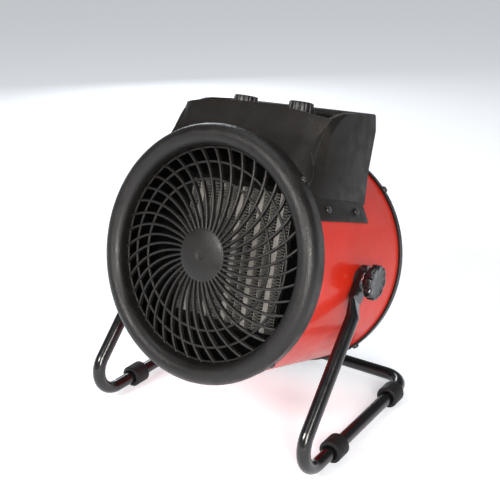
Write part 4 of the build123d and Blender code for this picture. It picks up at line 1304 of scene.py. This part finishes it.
def screws() -> list[CrossHeadScrews]:
    """Return the bezel's, the rear rim's and the flanges' screws."""
    flange_height, flange_radius = 55.0, HandleHousing.flange[1]
    upper = quarters(degrees(asin(flange_height / flange_radius)))[:2]
    bezel_seats = [(angle, -71.0, 108.8) for angle in quarters(44.0)]
    rim_seats = [(angle, 82.6, 107.9) for angle in quarters(45.0)]
    flange_seats = [(angle, station, flange_radius) for angle in upper for station in (-48.5, 1.0)]
    small = {"radius": 2.7, "rise": 1.9, "cross": (1.4, 0.36, 0.9)}
    return [
        CrossHeadScrews("bezel_cross_heads", "bezel_screws", DULL_ZINC, "screw_steel", bezel_seats, **small),
        CrossHeadScrews("rear_rim_cross_heads", "rear_rim_screws", DULL_ZINC, "screw_steel", rim_seats),
        CrossHeadScrews("flange_cross_heads", "flange_screws", BLACK_ZINC, "screw_black", flange_seats),
    ]


def dress_nodes() -> None:
    """Give every part of the frame its finish."""
    for finish, nodes in FINISHED_NODES:
        for node in nodes:
            for slot in frame["nodes"][node].material_slots:
                slot.material = finish.material()
        log.info("%s: %s", finish.name, ", ".join(nodes))


# ---------------------------------------------------------------- studio

HEATER_MIDDLE = Vector((0.0, 0.0, 0.15))


@dataclass(frozen=True)
class SoftBox:
    """A rectangular light that faces the heater.

    Attributes:
        name: The light's name.
        place: Its centre in metres.
        size: Its width and height in metres.
        power: Its power in watts.
        tint: Its colour.
    """

    name: str
    place: tuple[float, float, float]
    size: Point2
    power: float
    tint: Colour

    def hang(self) -> None:
        """Hang the light."""
        data = bpy.data.lights.new(self.name, "AREA")
        data.shape = "RECTANGLE"
        data.size, data.size_y = self.size
        data.energy = self.power
        data.color = self.tint
        light = add_object(self.name, data)
        light.location = self.place
        light.rotation_euler = (Vector(self.place) - HEATER_MIDDLE).to_track_quat("Z", "Y").to_euler()


COOL = (0.94, 0.97, 1.0)
SOFT_BOXES = (
    SoftBox("key", (1.2, -1.25, 0.8), (0.5, 0.9), 38.0, (1.0, 0.95, 0.89)),
    SoftBox("front", (-0.3, -1.75, 1.25), (0.4, 0.4), 30.0, (1.0, 0.97, 0.94)),
    SoftBox("top", (-0.1, 0.1, 2.0), (1.4, 0.9), 10.0, COOL),
    SoftBox("strip", (-1.2, 1.2, 0.8), (0.3, 1.0), 8.0, COOL),
)
FLOOR = Finish(
    "studio_floor", (0.80, 0.83, 0.87), 0.7, specular=0.2, grain_size=3.0, shade=0.01, edge_wear_and_sheen=0.0,
)


@dataclass
class Studio:
    """A pale floor and sky, soft lights and the camera, which stands where the photograph was taken from.

    Attributes:
        azimuth: Angle of the camera round the heater, in degrees.
        elevation: Its angle above the floor.
        roll: Its roll.
        distance: Its distance from the target in millimetres.
        target: What it looks at.
        lens: Its focal length.
        film: Width of its film.
        clip: The nearest and furthest that it sees, in metres.
        shift: Its shift, which frames the photograph.
        floor_size: Side of the floor in metres.
        floor_glow: Light that the floor gives of itself, so that it stays pale far from the lights.
        glow: Colour of that light.
        sky: Colour of the sky.
        dusk: Heights between which the sky fades, and its strength below and above them.
    """

    azimuth: float = 35.63
    elevation: float = 23.1
    roll: float = -0.94
    distance: float = 749.4
    target: Vector = field(default_factory=lambda: Vector((-0.99, 0.12, 121.29)))
    lens: float = 57.6
    film: float = 36.0
    clip: Point2 = (0.01, 50.0)
    shift: Point2 = (-0.0121, 0.0622)
    floor_size: float = 30.0
    floor_glow: float = 0.42
    glow: Colour = (0.93, 0.96, 1.0)
    sky: Colour = (0.95, 0.97, 1.0)
    dusk: Point4 = (0.02, 0.35, 0.8, 0.14)

    def build(self) -> None:
        """Make the floor, the sky, the lights and the camera."""
        self._floor()
        self._sky()
        for box in SOFT_BOXES:
            box.hang()
        self._camera()
        scene = bpy.context.scene
        scene.view_settings.view_transform = "Standard"
        scene.view_settings.look = "None"

    def _camera(self) -> None:
        """Place the camera by its angles round the target."""
        around, above, roll = radians(self.azimuth), radians(self.elevation), radians(self.roll)
        back = Vector((sin(around) * cos(above), -cos(around) * cos(above), sin(above)))
        right = Vector((cos(around), sin(around), 0.0))
        up = back.cross(right)
        right, up = right * cos(roll) + up * sin(roll), up * cos(roll) - right * sin(roll)
        data = bpy.data.cameras.new("photo_camera")
        data.lens = self.lens
        data.sensor_width = self.film
        data.shift_x, data.shift_y = self.shift
        data.clip_start, data.clip_end = self.clip
        camera = add_object("photo_camera", data)
        turn = Matrix((right, up, back)).transposed().to_4x4()
        camera.matrix_world = Matrix.Translation((self.target + back * self.distance) * MM) @ turn
        bpy.context.scene.camera = camera

    def _floor(self) -> None:
        """Lay a pale floor under the feet."""
        half = self.floor_size / 2
        corners = [(x * half, y * half, 0.0) for x, y in ((-1, -1), (1, -1), (1, 1), (-1, 1))]
        mesh = bpy.data.meshes.new("studio_floor")
        mesh.from_pydata(corners, [], [(0, 1, 2, 3)])
        mesh.materials.append(FLOOR.material())
        lit = principled(FLOOR.material()).inputs
        lit["Emission Color"].default_value = (*self.glow, 1.0)
        lit["Emission Strength"].default_value = self.floor_glow
        add_object("studio_floor", mesh)

    def _sky(self) -> None:
        """Surround the scene with a pale sky that fades with height."""
        world = bpy.data.worlds.new("studio")
        world.use_nodes = True
        nodes, background = Nodes(world.node_tree), world.node_tree.nodes["Background"]
        around = nodes.node("ShaderNodeTexCoord").outputs["Generated"]
        height = nodes.node("ShaderNodeSeparateXYZ", Vector=around).outputs["Z"]
        start, end, low, high = self.dusk
        background.inputs["Color"].default_value = (*self.sky, 1.0)
        nodes.feed(background.inputs["Strength"], nodes.stretch(height, low, high, start, end))
        bpy.context.scene.world = world


def main() -> None:
    """Dress the heater, set the studio and report each piece."""
    logging.basicConfig(level=logging.INFO, format="%(name)s: %(message)s")
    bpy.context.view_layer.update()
    Studio().build()
    assemblies = [
        OutletGrille(), HeatingElement(), *screws(), HandleHousing(), ControlConsole(),
        DialKnob("selector", -29.5), DialKnob("thermostat", 29.5), ClampKnob(1), ClampKnob(-1),
        FootSleeves("front", -51.5), FootSleeves("rear", 55.6),
    ]
    built = [piece for assembly in assemblies for piece in assembly.build()]
    dress_nodes()
    log.info("%d pieces of the scene's own", len(built))


if __name__ == "__main__":
    main()
